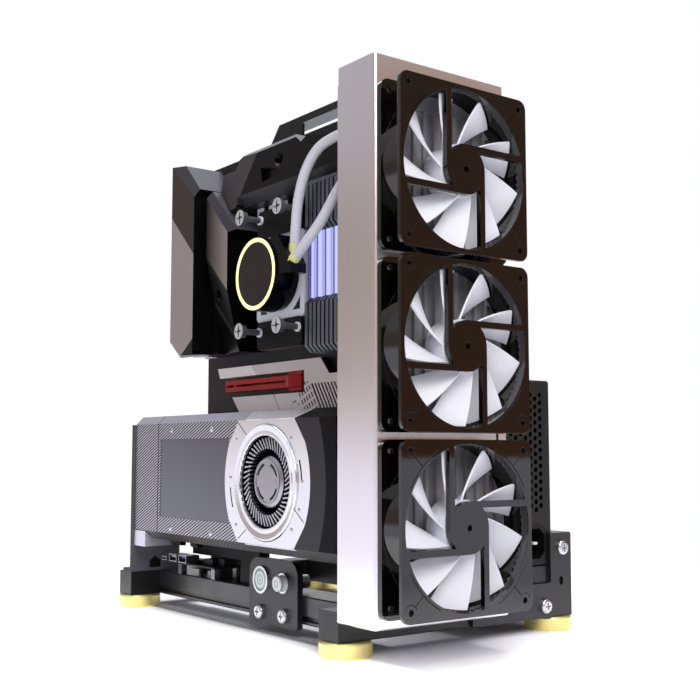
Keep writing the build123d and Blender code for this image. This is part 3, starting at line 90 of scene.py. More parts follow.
class Nodes:
    """Short names for the nodes of one shader tree, whose outputs serve as factors."""

    def __init__(self, tree):
        self.tree = tree

    def new(self, kind):
        return self.tree.nodes.new(f"ShaderNode{kind}")

    def join(self, source, target):
        self.tree.links.new(source, target)

    def feed(self, socket, value):
        """A number or colour is set on a socket, a factor is joined to it."""
        if isinstance(value, (int, float, tuple)):
            socket.default_value = value
        else:
            self.join(value, socket)

    def remap(self, factor, low, high, new_low=0.0, new_high=1.0):
        """A factor's range moved to a new one, and held at its ends."""
        node = self.new("MapRange")
        limits = {"From Min": low, "From Max": high, "To Min": new_low, "To Max": new_high}
        for name, value in limits.items():
            node.inputs[name].default_value = value
        self.join(factor, node.inputs["Value"])
        return node.outputs["Result"]

    def sums(self, operation, first, second=0.0):
        node = self.new("Math")
        node.operation = operation
        self.feed(node.inputs[0], first)
        self.feed(node.inputs[1], second)
        return node.outputs["Value"]

    def product(self, first, *others):
        for other in others:
            first = self.sums("MULTIPLY", first, other)
        return first

    def most(self, first, *others):
        for other in others:
            first = self.sums("MAXIMUM", first, other)
        return first

    def rest(self, factor):
        """1 where a factor is 0, and the other way round."""
        return self.sums("SUBTRACT", 1.0, factor)

    def dot(self, source, x, y, z):
        node = self.new("VectorMath")
        node.operation = "DOT_PRODUCT"
        node.inputs[1].default_value = (x, y, z)
        self.join(source, node.inputs[0])
        return node.outputs["Value"]

    def mixed(self, factor, first, second):
        """The first colour where a factor is 0, the second where it is 1."""
        node = self.new("Mix")
        node.data_type = "RGBA"
        self.join(factor, node.inputs["Factor"])
        for name, value in (("A", first), ("B", second)):
            self.feed([s for s in node.inputs if s.name == name and s.type == "RGBA"][0], value)
        return [s for s in node.outputs if s.type == "RGBA"][0]

    def ramp(self, factor, stops):
        node = self.new("ValToRGB")
        self.join(factor, node.inputs["Fac"])
        elements = node.color_ramp.elements
        elements[0].position, elements[0].color = stops[0]
        elements[1].position, elements[1].color = stops[-1]
        for position, colour in stops[1:-1]:
            elements.new(position).color = colour
        return node.outputs["Color"]


class Look(Nodes):
    """A procedural material in object space, with patterns in metres and distances in millimetres."""

    def __init__(self, name, colour, rough, metal=0.0, specular=0.5, edge=0.0):
        self.material = bpy.data.materials.new(name)
        self.material.use_nodes = True
        super().__init__(self.material.node_tree)
        self.shader = self.tree.nodes["Principled BSDF"]
        self.colour = colour
        self.shader.inputs["Base Color"].default_value = colour
        self.shader.inputs["Roughness"].default_value = rough
        self.shader.inputs["Metallic"].default_value = metal
        self.shader.inputs["Specular IOR Level"].default_value = specular
        where = self.new("TexCoord")
        self.place, self.facing = where.outputs["Object"], where.outputs["Normal"]
        self.normal = None
        if edge:
            rounding = self.new("Bevel")
            rounding.samples = 4
            rounding.inputs["Radius"].default_value = edge / 1000
            self.bend(rounding.outputs["Normal"])

    def bend(self, normal):
        self.normal = normal
        self.join(normal, self.shader.inputs["Normal"])

    def stretched(self, stretch, turn=(0, 0, 0)):
        mapping = self.new("Mapping")
        mapping.inputs["Scale"].default_value = stretch
        mapping.inputs["Rotation"].default_value = [math.radians(angle) for angle in turn]
        self.join(self.place, mapping.inputs["Vector"])
        return mapping.outputs["Vector"]

    def noise(self, scale, stretch=(1, 1, 1)):
        texture = self.new("TexNoise")
        texture.inputs["Scale"].default_value = scale
        texture.inputs["Detail"].default_value = 3.0
        self.join(self.stretched(stretch), texture.inputs["Vector"])
        return texture.outputs["Fac"]

    def bands(self, scale, axis, turn=(0, 0, 0), distortion=0.0, profile="SIN"):
        texture = self.new("TexWave")
        texture.wave_type = "BANDS"
        texture.bands_direction = axis
        texture.wave_profile = profile
        texture.inputs["Scale"].default_value = scale
        texture.inputs["Distortion"].default_value = distortion
        self.join(self.stretched((1, 1, 1), turn), texture.inputs["Vector"])
        return texture.outputs["Fac"]

    def cells(self, scale, stretch=(1, 1, 1), randomness=0.0):
        texture = self.new("TexVoronoi")
        texture.inputs["Scale"].default_value = scale
        texture.inputs["Randomness"].default_value = randomness
        self.join(self.stretched(stretch), texture.inputs["Vector"])
        return texture.outputs["Distance"]

    def along(self, x, y, z, offset):
        """Signed distance of a point from a plane."""
        return self.sums("SUBTRACT", self.dot(self.place, 1000 * x, 1000 * y, 1000 * z), offset)

    def length(self, first, second):
        squares = [self.sums("MULTIPLY", value, value) for value in (first, second)]
        return self.sums("SQRT", self.sums("ADD", *squares))

    def from_axis(self, x, z):
        """Distance of a point from a line that runs front to back."""
        return self.length(self.along(1, 0, 0, x), self.along(0, 0, 1, z))

    def slanted(self, first, share, second, other_share):
        """Weighted sum of two distances, which is level along a slanted line."""
        return self.sums("ADD", self.product(first, share), self.product(second, other_share))

    def turned(self, x, y, z, low, high):
        """1 where the surface faces a direction, 0 where it is turned away."""
        return self.remap(self.dot(self.facing, x, y, z), low, high)

    def within(self, factor, low, high, soft=0.12):
        """1 between two limits, 0 outside, with a soft edge."""
        rise = self.remap(factor, low - soft, low + soft)
        fall = self.remap(factor, high - soft, high + soft, 1.0, 0.0)
        return self.product(rise, fall)

    def drift(self, colour, scale, amount, stretch=(1, 1, 1)):
        """A colour that varies slowly over the surface."""
        low = tuple(c * (1 - amount) for c in colour[:3]) + (1.0,)
        high = tuple(min(1.0, c * (1 + amount)) for c in colour[:3]) + (1.0,)
        return self.mixed(self.noise(scale, stretch), low, high)

    def paint(self, colour):
        self.join(colour, self.shader.inputs["Base Color"])
        return self

    def vary(self, scale, amount, stretch=(1, 1, 1)):
        return self.paint(self.drift(self.colour, scale, amount, stretch))

    def shine(self, low, high, scale, stretch=(1, 1, 1)):
        """Roughness that varies between two values."""
        factor = self.remap(self.noise(scale, stretch), 0.0, 1.0, low, high)
        self.join(factor, self.shader.inputs["Roughness"])
        return self

    def metal(self, factor):
        self.join(factor, self.shader.inputs["Metallic"])
        return self

    def relief(self, height, strength, depth):
        bump = self.new("Bump")
        bump.inputs["Strength"].default_value = strength
        bump.inputs["Distance"].default_value = depth / 1000
        self.join(height, bump.inputs["Height"])
        if self.normal is not None:
            self.join(self.normal, bump.inputs["Normal"])
        self.bend(bump.outputs["Normal"])
        return self

    def glow(self, colour, strength):
        self.join(colour, self.shader.inputs["Emission Color"])
        self.shader.inputs["Emission Strength"].default_value = strength
        return self


def coated(name, colour, rough, specular):
    """Satin coat with a fine orange peel."""
    look = Look(name, colour, rough, specular=specular, edge=0.5)
    look.vary(28, 0.2).shine(rough - 0.1, rough + 0.1, 45)
    return look.relief(look.noise(1400), 0.1, 0.04)


def moulded(name, colour, rough, specular=0.5):
    """Moulded plastic with slow flow marks."""
    look = Look(name, colour, rough, specular=specular, edge=0.3)
    look.vary(18, 0.1, (1, 1, 2.5)).shine(max(0.04, rough - 0.08), rough + 0.08, 30)
    return look.relief(look.noise(700), 0.04, 0.03)


def brushed(name, colour, rough, stretch, amount=0.08, metal=1.0):
    """Metal with fine lines along one direction."""
    look = Look(name, colour, rough, metal, edge=0.4)
    look.vary(30, amount, stretch).shine(rough - 0.1, rough + 0.12, 55, stretch)
    return look.relief(look.noise(420, stretch), 0.05, 0.02)


BLACK = srgb(5, 5, 5)


def tray_coat():
    """Black, with a pale underside above the mainboard: painted light on faces turned down."""
    look = Look("tray_coat", srgb(17, 17, 18), 0.42, specular=0.3, edge=0.5)
    above = look.remap(look.along(0, 0, 1, board_high[2]), 0.0, 2.0)
    soffit_light = look.product(look.turned(0, 0, -1, 0.7, 0.9), above)
    look.paint(look.mixed(soffit_light, look.drift(look.colour, 28, 0.2), srgb(150, 152, 160)))
    return look.shine(0.32, 0.52, 45).relief(look.noise(1400), 0.1, 0.04)


def mount_coat():
    """Grey towards the fans, near black elsewhere: painted light on faces turned to the fans, painted
    shade on the others.
    """
    look = Look("mount_coat", srgb(93, 92, 99), 0.42, specular=0.4, edge=0.5)
    lit_grey, shaded_dark = look.drift(look.colour, 28, 0.1), look.drift(srgb(20, 20, 22), 28, 0.2)
    look.paint(look.mixed(look.turned(1, 0, 0, 0.6, 0.8), shaded_dark, lit_grey))
    return look.shine(0.34, 0.5, 45).relief(look.noise(1400), 0.1, 0.04)


def supply_coat():
    """Black, and darker still inside the comb of holes, as painted shade."""
    look = Look("supply_coat", srgb(17, 17, 18), 0.4, specular=0.4, edge=0.5)
    sunk = look.within(look.along(1, 0, 0, supply_high[0]), -4.0, -0.4, 0.05)
    comb_shade = look.product(sunk, look.within(look.along(0, 0, 1, supply_low[2]), 20.0, 146.0))
    look.paint(look.mixed(comb_shade, look.drift(look.colour, 30, 0.2), BLACK)).metal(comb_shade)
    return look.shine(0.32, 0.48, 45).relief(look.noise(1500), 0.15, 0.05)


def inlet_black():
    """Mains inlet with three pale pins."""
    look = Look("inlet_black", srgb(10, 10, 11), 0.45, specular=0.3, edge=0.3)
    y, z = supply_high[1] - 19.0, supply_low[2] + 18.0
    pins = []
    for pin_y, pin_z in ((y - 4.0, z - 7.0), (y + 3.0, z), (y - 4.0, z + 7.0)):
        wide = look.within(look.along(0, 1, 0, pin_y), -2.3, 2.3)
        pins.append(look.product(wide, look.within(look.along(0, 0, 1, pin_z), -1.3, 1.3)))
    raised = look.remap(look.along(1, 0, 0, supply_high[0]), -14.0, -13.0)
    pin = look.product(look.most(*pins), raised)
    look.paint(look.mixed(pin, look.drift(look.colour, 30, 0.2), srgb(236, 236, 240)))
    return look.shine(0.36, 0.5, 40).relief(look.noise(700), 0.05, 0.03)


def rocker_black():
    """Rocker switch with the usual bar above and circle below."""
    look = Look("rocker_black", srgb(26, 26, 28), 0.3, specular=0.4, edge=0.3)
    low, high = span("psu_switch")
    _, y, z = middle("psu_switch")
    quarter = (high[2] - low[2]) / 4
    aside = look.along(0, 1, 0, y)
    bar = look.within(look.along(0, 0, 1, z + quarter), -1.5, 1.5)
    bar = look.product(bar, look.within(look.sums("ABSOLUTE", aside), -1.0, 0.35))
    loop = look.within(look.length(aside, look.along(0, 0, 1, z - quarter)), 1.1, 1.7)
    marks = look.product(look.turned(1, 0, 0, 0.5, 0.8), look.most(bar, loop))
    look.paint(look.mixed(marks, look.drift(look.colour, 40, 0.2), srgb(226, 226, 228)))
    return look.shine(0.24, 0.36, 40)


def gold_turned():
    look = Look("gold_turned", srgb(255, 238, 158), 0.34, 0.8, edge=0.4)
    look.vary(20, 0.03).shine(0.3, 0.46, 80, (1, 1, 12))
    return look.relief(look.noise(300, (1, 1, 20)), 0.08, 0.03)


def bolt_steel():
    """Bright heads on darker shanks: painted light on faces turned to the front, painted shade on the
    others.
    """
    look = Look("bolt_steel", srgb(150, 152, 156), 0.34, 0.35, edge=0.3)
    shank_shade, lit_head = look.drift(srgb(92, 95, 99), 60, 0.1), look.drift(srgb(206, 207, 209), 60, 0.06)
    look.paint(look.mixed(look.turned(0, -1, 0, 0.5, 0.8), shank_shade, lit_head))
    return look.shine(0.28, 0.4, 90).relief(look.noise(420), 0.06, 0.03)


def shell_steel():
    """Plug shells, bright in front and darker inside and above: painted light on faces turned to the
    front, painted shade on the others.
    """
    look = Look("shell_steel", srgb(204, 205, 210), 0.32, 0.4, edge=0.2)
    inside, lit_rim = look.drift(srgb(74, 74, 78), 60, 0.1), look.drift(look.colour, 60, 0.06, (8, 1, 1))
    look.paint(look.mixed(look.turned(0, -1, 0, 0.5, 0.8), inside, lit_rim))
    return look.shine(0.26, 0.4, 55, (8, 1, 1))


def core_fins():
    look = Look("core_fins", srgb(150, 149, 152), 0.6, 0.1)
    look.vary(40, 0.08, (1, 1, 0.2)).shine(0.5, 0.6, 60)
    return look.relief(look.bands(260, "Z"), 0.1, 0.1)


def solder_mask():
    """Circuit boards with faint traces."""
    look = Look("solder_mask", srgb(20, 20, 22), 0.42, specular=0.25)
    traces = look.bands(90, "DIAGONAL", distortion=6.0, profile="SAW")
    look.paint(look.mixed(look.remap(traces, 0.82, 0.9), srgb(12, 12, 13), srgb(23, 24, 26)))
    return look.relief(look.noise(500), 0.1, 0.05)


def fan_gloss(name):
    """Glossy black with fine grooves round the corner holes, and a paler wall in the bore that is a
    painted reflection.
    """
    front = span(f"fan_frame_{name}")[1][0]
    _, fan_y, fan_z = middle(f"fan_frame_{name}")
    look = Look(f"fan_gloss_{name}", srgb(9, 7, 6), 0.1, specular=0.75, edge=0.35)
    across = look.sums("ABSOLUTE", look.along(0, 1, 0, fan_y))
    upward = look.sums("ABSOLUTE", look.along(0, 0, 1, fan_z))
    radius = look.length(across, upward)
    from_hole = look.length(*[look.sums("SUBTRACT", way, FAN_HOLE) for way in (across, upward)])
    diagonal = look.sums("ABSOLUTE", look.sums("SUBTRACT", across, upward))
    pad = look.product(look.within(from_hole, 5.0, 5.4), look.remap(upward, 50.4, 51.0, 1.0, 0.0))
    spoke = look.product(look.within(diagonal, -1.0, 0.4), look.within(radius, 59.4, 69.0))
    arc = look.product(look.within(radius, 59.0, 59.5), look.within(diagonal, -1.0, 26.0))
    bearing = look.within(radius, -1.0, 2.2)
    flange = look.within(look.along(1, 0, 0, front), -0.5, 1.0)
    groove = look.product(flange, look.most(pad, spoke, arc, bearing))
    depth = look.along(-1, 0, 0, -front)
    wall_reflection = look.product(look.within(radius, 55.2, 58.4), look.within(depth, 0.6, 6.2))
    tone = look.mixed(wall_reflection, look.drift(look.colour, 18, 0.15), srgb(64, 63, 67))
    look.paint(look.mixed(groove, tone, BLACK)).metal(groove)
    return look.shine(0.02, 0.045, 25).relief(look.rest(groove), 0.5, 0.2)


def casing_satin():
    """Satin metal with a dark slit between the lower two fans."""
    look = Look("casing_satin", srgb(240, 238, 241), 0.2, 1.0, edge=0.6)
    upright = (1, 1, 0.06)
    web = look.within(look.along(0, 0, 1, span("fan_frame_middle")[0][2]), -8.0, 4.0)
    slit = look.product(web, look.within(look.along(0, 1, 0, casing_high[1]), -12.0, -9.6))
    front = look.turned(1, 0, 0, 0.6, 0.8)
    satin = look.drift(look.colour, 30, 0.02, upright)
    look.paint(look.mixed(look.product(slit, front), satin, srgb(30, 28, 28)))
    look.metal(look.remap(front, 0.0, 1.0, 1.0, 0.84))
    return look.shine(0.16, 0.26, 55, upright).relief(look.noise(420, upright), 0.05, 0.02)


def hose_sleeve():
    look = Look("hose_sleeve", srgb(214, 213, 221), 0.5)
    return look.vary(60, 0.05).shine(0.42, 0.58, 90).relief(look.cells(650), 0.18, 0.1)


def collar_cream():
    """Cream at the pump, nickel at the radiator."""
    look = Look("collar_cream", srgb(232, 232, 150), 0.4)
    nickel = look.remap(look.along(1, 0, 0, casing_low[0]), -24.0, -22.0)
    look.paint(look.mixed(nickel, look.drift(look.colour, 80, 0.08), srgb(150, 150, 155)))
    return look.shine(0.32, 0.48, 60)


def pump_gloss():
    """Dark metal, with a glossy disc inside the light ring."""
    look = Look("pump_gloss", srgb(20, 18, 19), 0.22, specular=0.45, edge=0.3)
    inside = look.remap(look.from_axis(pump_x, pump_z), 25.0, 25.5, 1.0, 0.0)
    disc = look.product(inside, look.turned(0, -1, 0, 0.8, 0.9))
    look.paint(look.mixed(disc, srgb(19, 18, 26), look.drift(look.colour, 18, 0.1, (1, 1, 2.5))))
    look.metal(look.remap(disc, 0.0, 1.0, 0.8, 0.0))
    return look.shine(0.16, 0.28, 30).relief(look.noise(700), 0.04, 0.03)


def ring_light():
    look = Look("ring_light", srgb(250, 246, 190), 0.5)
    tone = look.mixed(look.noise(40), srgb(253, 251, 190), srgb(248, 243, 160))
    return look.paint(tone).glow(tone, 0.8)


def frame_white():
    """Cooler frame, white along its rim and round the pump, black between."""
    look = Look("frame_white", srgb(232, 233, 243), 0.45, edge=0.3)
    low, high = span("cooler_frame")
    pump_radius = (span("pump_housing")[1][2] - span("pump_housing")[0][2]) / 2
    about = look.from_axis(pump_x, pump_z)
    pale = [look.remap(about, pump_radius + 4.0, pump_radius + 4.4, 1.0, 0.0)]
    for way, axis in ((0, (1, 0, 0)), (2, (0, 0, 1))):
        from_middle = look.sums("ABSOLUTE", look.along(*axis, (low[way] + high[way]) / 2))
        half = (high[way] - low[way]) / 2
        pale.append(look.remap(from_middle, half - 6.4, half - 6.0))
    look.paint(look.mixed(look.most(*pale), srgb(12, 12, 13), look.drift(look.colour, 40, 0.04)))
    return look.shine(0.4, 0.5, 40).relief(look.noise(700), 0.04, 0.03)


def module_lights():
    """Light bars with the same stripes on each module, and a deep blue left edge."""
    look = Look("module_lights", srgb(150, 150, 255), 0.5)
    pitch = span("memory_module_2")[0][0] - span("memory_module_1")[0][0]
    across = look.along(1, 0, 0, span("memory_lights")[0][0])
    phase = look.sums("FLOORED_MODULO", across, pitch)
    tone = look.mixed(look.noise(60, (1, 1, 0.2)), srgb(196, 202, 255), srgb(214, 218, 255))
    tone = look.mixed(look.within(phase, 7.7, 8.9, 0.5), tone, srgb(132, 136, 222))
    tone = look.mixed(look.within(phase, 9.3, 10.7, 0.3), tone, srgb(238, 239, 255))
    tone = look.mixed(look.within(phase, 0.2, 1.9, 0.4), tone, srgb(62, 62, 168))
    deep = look.mixed(look.within(across, 1.0, 2.2, 0.5), srgb(34, 30, 122), srgb(96, 98, 196))
    tone = look.mixed(look.remap(across, 3.2, 4.4, 1.0, 0.0), tone, deep)
    return look.paint(look.drift(srgb(36, 34, 70), 40, 0.1)).glow(tone, 0.95)


def cover_satin():
    """Port cover: a lit facet left of a fold, a ridge with a shaded vee, and bevels, all as painted
    light, shade and reflection.
    """
    look = Look("cover_satin", srgb(84, 72, 66), 0.3, specular=0.12, edge=0.4)
    u, v = look.along(1, 0, 0, board_low[0]), look.along(0, 0, 1, board_low[2])
    height = look.along(0, -1, 0, -board_front)
    front = look.turned(0, -1, 0, 0.6, 0.85)
    left = look.product(look.remap(u, 42.0, 42.6, 1.0, 0.0), look.remap(height, 30.0, 31.0))
    fold = look.slanted(u, 0.685, v, 0.7285)
    lit = look.product(left, look.remap(fold, 185.2, 186.0, 1.0, 0.0))
    ridge = look.product(look.remap(u, 54.6, 55.2), look.remap(height, 25.0, 26.0))
    vee = look.slanted(u, 0.674, v, 0.739)
    shade = look.product(look.remap(u, 56.0, 92.0), look.remap(vee, 192.0, 192.8))
    # The bevel and top wall tones are painted reflections, the foot tone is painted shade, and the pale
    # and brown tones are painted light and shadow on the front.
    bevel = look.product(front, look.turned(0.6, 0, 0.75, 0.12, 0.2))
    top_wall_reflection = look.turned(0.69, 0, 0.72, 0.8, 0.95)
    foot_shade = look.product(look.turned(0, 0, -1, 0.15, 0.25), left)
    raised = look.product(front, look.remap(height, 24.0, 25.0))
    shadowed_brown, pale = look.drift(srgb(66, 56, 50), 12, 0.15), look.drift(srgb(158, 147, 144), 12, 0.05)
    tone = look.mixed(lit, shadowed_brown, pale)
    tone = look.mixed(ridge, tone, look.mixed(shade, srgb(22, 21, 21), srgb(146, 136, 130)))
    tone = look.mixed(bevel, tone, look.drift(srgb(66, 64, 68), 20, 0.1))
    tone = look.mixed(top_wall_reflection, tone, srgb(80, 80, 87))
    tone = look.mixed(foot_shade, tone, srgb(46, 42, 40))
    look.paint(look.mixed(look.most(raised, bevel, top_wall_reflection), srgb(9, 9, 9), tone))
    return look.shine(0.26, 0.36, 30).relief(look.noise(900), 0.03, 0.02)


def power_cover():
    """Power stage cover: black, with a paler facet left of a crease and lit edges, all painted light."""
    look = Look("power_cover", srgb(9, 9, 9), 0.3, specular=0.14, edge=0.5)
    crease_x, crease_z = on_board(103.2, 258.8)
    beside = look.along(0.77, 0, -0.638, 0.77 * crease_x - 0.638 * crease_z)
    lit_facet = look.remap(beside, -0.4, 0.0, 1.0, 0.0)
    tone = look.mixed(lit_facet, look.drift(look.colour, 18, 0.15), srgb(58, 56, 56))
    # Faces turned down and up are painted lighter: painted light.
    tone = look.mixed(look.turned(0, 0, -1, 0.3, 0.5), tone, srgb(50, 50, 51))
    look.paint(look.mixed(look.turned(0, 0, 1, 0.3, 0.5), tone, srgb(120, 121, 128)))
    return look.shine(0.26, 0.36, 30).relief(look.noise(700), 0.04, 0.03)


def chipset_satin():
    """Chipset plate: a patch of dots, slanted dashes, dark slats and a paler corner."""
    look = Look("chipset_satin", srgb(216, 208, 208), 0.34, 0.4, edge=0.3)
    dash_pitch = 4.4
    u, v = look.along(1, 0, 0, board_low[0]), look.along(0, 0, 1, board_low[2])
    dots = look.remap(look.cells(260, (1, 0.001, 1), 0.6), 0.24, 0.3, 1.0, 0.0)
    dots = look.product(dots, look.within(u, 152.0, 166.0), look.within(v, 66.0, 84.0))
    slant = look.slanted(u, 1.0, v, 0.636)
    dash = look.remap(look.sums("SINE", look.product(slant, 2 * math.pi / dash_pitch)), 0.1, 0.3)
    rows = look.remap(look.sums("SINE", look.slanted(v, 0.86, u, -0.35)), -0.6, -0.4)
    dash = look.product(dash, rows, look.within(slant, 216.0, 238.4), look.within(v, 64.0, 94.0))
    sunk = look.remap(look.along(0, 1, 0, span("chipset_plate")[0][1]), 0.4, 0.7)
    slats = look.product(sunk, look.remap(u, 172.0, 174.0))
    split = look.slanted(u, 1.0, v, 1.04)
    corner = look.product(look.remap(split, 204.0, 204.6, 1.0, 0.0), look.remap(v, 102.0, 103.0))
    tone = look.mixed(look.most(corner, sunk), look.drift(look.colour, 30, 0.05), srgb(246, 241, 241))
    look.paint(look.mixed(look.most(dots, dash, slats), tone, srgb(26, 25, 26)))
    return look.shine(0.26, 0.4, 60, (0.1, 1, 1))


def trim_weave():
    """Hatched trim sheet with a smooth bevel above, painted pale as painted light, a dark one below,
    painted as shade, and a seam.
    """
    look = Look("trim_weave", srgb(130, 130, 136), 0.36, 0.75, edge=0.3)
    hatch = 2.72  # radians of its wave in a millimetre
    wave = look.sums("SINE", look.along(-0.409 * hatch, 0, 0.913 * hatch, 0.0))
    thread = look.remap(look.bands(420, "X", (0, -45, 0)), 0.0, 1.0, 0.8, 1.0)
    lines = look.product(look.remap(wave, -0.35, 0.45), thread)
    above, below_shade = look.turned(0, 0, 1, 0.3, 0.5), look.turned(0, 0, -1, 0.3, 0.5)
    seam = look.within(look.along(1, 0, 0, shroud_left + 48.2), -0.7, 0.7, 0.15)
    tone = look.mixed(lines, srgb(52, 52, 56), srgb(214, 214, 222))
    # Upper bevel painted pale: painted light. Lower bevel painted near black: painted shade.
    tone = look.mixed(above, tone, srgb(190, 192, 204))
    tone = look.mixed(look.product(below_shade, 0.93), tone, srgb(20, 20, 22))
    look.paint(look.mixed(seam, tone, srgb(30, 30, 33)))
    return look.relief(look.product(wave, look.rest(above)), 0.3, 0.2)


def window_smoke():
    """Smoked window, darker towards its top right."""
    look = Look("window_smoke", srgb(112, 112, 118), 0.3, edge=0.2)
    rise = look.remap(look.along(0.3, 0, 1, 0.3 * blower_x + blower_z), -70, 25)
    return look.paint(look.mixed(rise, srgb(114, 115, 124), srgb(84, 84, 88))).shine(0.26, 0.36, 12)


def shroud_gloss():
    """A glossy panel inside a wide arc; elsewhere painted shade, near black dark metal that reflects
    little, for a surface that turns away.
    """
    look = Look("shroud_gloss", srgb(30, 30, 32), 0.22, specular=0.36, edge=0.5)
    panel = look.remap(look.from_axis(blower_x - 56.4, blower_z), 136.4, 137.2, 1.0, 0.0)
    dull_shade = look.rest(look.product(panel, look.turned(0, -1, 0, 0.9, 0.95)))
    look.paint(look.mixed(dull_shade, look.drift(srgb(22, 22, 25), 18, 0.1), srgb(8, 8, 9)))
    return look.metal(look.product(dull_shade, 0.9)).shine(0.18, 0.28, 20)


def card_silver():
    look = Look("card_silver", srgb(245, 245, 248), 0.2, 0.85, edge=0.4)
    return look.vary(30, 0.01, (6, 1, 1)).shine(0.14, 0.2, 12, (6, 1, 1))


def wheel_metal():
    """Vanes with pale tips that darken inward, round a paler cup that also darkens inward: painted shade
    deeper in.
    """
    look = Look("wheel_metal", srgb(120, 120, 124), 0.32, 0.9, edge=0.15)
    sink = look.along(0, 1, 0, wheel_front)
    vane = look.mixed(look.remap(sink, 0.2, 6.0), srgb(206, 206, 212), srgb(24, 24, 26))
    cup = look.mixed(look.remap(sink, 2.0, 9.0), srgb(168, 168, 173), srgb(66, 66, 70))
    outside = look.remap(look.from_axis(blower_x, blower_z), 20.4, 20.6)
    return look.paint(look.mixed(outside, cup, vane)).shine(0.24, 0.4, 60)


def button_lens():
    """Power cap: a pale ring round the usual broken circle with a bar."""
    look = Look("button_lens", srgb(196, 216, 206), 0.3, 0.2, edge=0.2)
    cap_x, _, cap_z = middle("power_button_cap")
    aside = look.sums("ABSOLUTE", look.along(1, 0, 0, cap_x))
    above = look.along(0, 0, 1, cap_z)
    radius = look.from_axis(cap_x, cap_z)
    gap = look.product(look.within(aside, -1.0, 1.0), look.remap(above, 0.0, 0.2))
    loop = look.product(look.within(radius, 1.9, 2.7), look.rest(gap))
    bar = look.product(look.within(aside, -1.0, 0.4), look.within(above, 0.3, 3.2))
    marks = look.most(loop, bar, look.within(radius, 4.7, 6.2))
    look.paint(look.mixed(marks, look.drift(srgb(188, 207, 200), 60, 0.06), srgb(250, 255, 252)))
    return look.shine(0.25, 0.35, 40)


def reset_satin():
    """Reset cap with one grey ring."""
    look = Look("reset_satin", srgb(230, 231, 237), 0.36, 0.35, edge=0.2)
    cap_x, _, cap_z = middle("reset_button_cap")
    ring = look.within(look.from_axis(cap_x, cap_z), 2.1, 2.7)
    look.paint(look.mixed(ring, look.drift(look.colour, 60, 0.05), srgb(120, 121, 128)))
    return look.shine(0.3, 0.42, 60)


bright = brushed("screw_steel", srgb(206, 207, 210), 0.26, (1, 1, 1))
steel = brushed("plate_steel", srgb(178, 178, 182), 0.34, (1, 1, 8))
silver = card_silver()
black = moulded("moulding_black", srgb(9, 9, 10), 0.42, specular=0.12)
white = moulded("moulding_white", srgb(233, 234, 243), 0.45)
blue = moulded("socket_blue", srgb(52, 60, 190), 0.4)
# Black sheets that stand for recesses, slots and holes: painted shade.
recess_shade = moulded("recess_shade_black", srgb(8, 8, 9), 0.6, specular=0.2)
hose = hose_sleeve()
fan_looks = {name: fan_gloss(name) for name in FANS}

LOOKS = {
    coated("frame_coat", srgb(16, 16, 17), 0.34, specular=0.5): [
        "left_cross_rail", "right_cross_rail", "rear_rail", "psu_saddles",
    ],
    # Front rail: the frame's black coat made lighter and glossier, as painted light on the lit rail.
    coated("rail_coat_lit", srgb(34, 34, 37), 0.34, specular=0.8): ["front_rail"],
    coated("panel_coat", srgb(27, 28, 32), 0.4, specular=0.6): ["button_panel", "psu_holder"],
    tray_coat(): ["motherboard_tray"],
    mount_coat(): ["gpu_mount_plate"],
    supply_coat(): ["psu_case"],
    inlet_black(): ["psu_inlet"],
    rocker_black(): ["psu_switch"],
    gold_turned(): ["feet"],
    bright: ["frame_screws"],
    bolt_steel(): ["cooler_screws"],
    steel: ["gpu_bracket", "psu_fan_guard"],
    brushed("socket_steel", srgb(186, 186, 190), 0.3, (8, 1, 1)): ["rear_io_ports"],
    shell_steel(): ["hub_ports"],
    brushed("post_metal", srgb(150, 150, 153), 0.38, (1, 1, 6)): ["hub_standoffs"],
    casing_satin(): ["radiator_casing"],
    core_fins(): ["radiator_core"],
    moulded("fan_blade", srgb(234, 234, 242), 0.5, specular=0.25): [f"fan_rotor_{name}" for name in FANS],
    solder_mask(): ["motherboard", "gpu_board", "hub_board", "processor"],
    cover_satin(): ["io_cover"],
    power_cover(): ["vrm_cover"],
    chipset_satin(): ["chipset_plate"],
    moulded("slot_red", srgb(166, 20, 16), 0.36, specular=0.25): ["pcie_slot", "pcie_latch"],
    black: ["cooler_bars", "riser_slot", "psu_fan_rotor"],
    frame_white(): ["cooler_frame"],
    pump_gloss(): ["pump_housing"],
    ring_light(): ["pump_ring"],
    collar_cream(): ["tube_fittings"],
    hose: ["tube_upper", "tube_lower"],
    brushed("module_grey", srgb(112, 117, 123), 0.42, (1, 1, 0.1), amount=0.12): [
        f"memory_module_{number}" for number in (1, 2, 3, 4)
    ],
    module_lights(): ["memory_lights"],
    shroud_gloss(): ["gpu_shroud"],
    trim_weave(): ["gpu_trim"],
    window_smoke(): ["gpu_window"],
    silver: ["gpu_fan_frame"],
    wheel_metal(): ["gpu_blower_wheel"],
    brushed("block_satin", srgb(240, 240, 250), 0.3, (8, 1, 1), amount=0.03, metal=0.55): [
        "gpu_support_block",
    ],
    brushed("bezel_steel", srgb(208, 214, 211), 0.26, (1, 1, 1)): ["button_bezels"],
    button_lens(): ["power_button_cap"],
    reset_satin(): ["reset_button_cap"],
}


def dress(thing, look):
    thing.data.materials.clear()
    thing.data.materials.append(look.material)


for look, names in LOOKS.items():
    for name in names:
        dress(nodes[name], look)
for name, look in fan_looks.items():
    dress(nodes[f"fan_frame_{name}"], look)


# Pieces, in millimetres


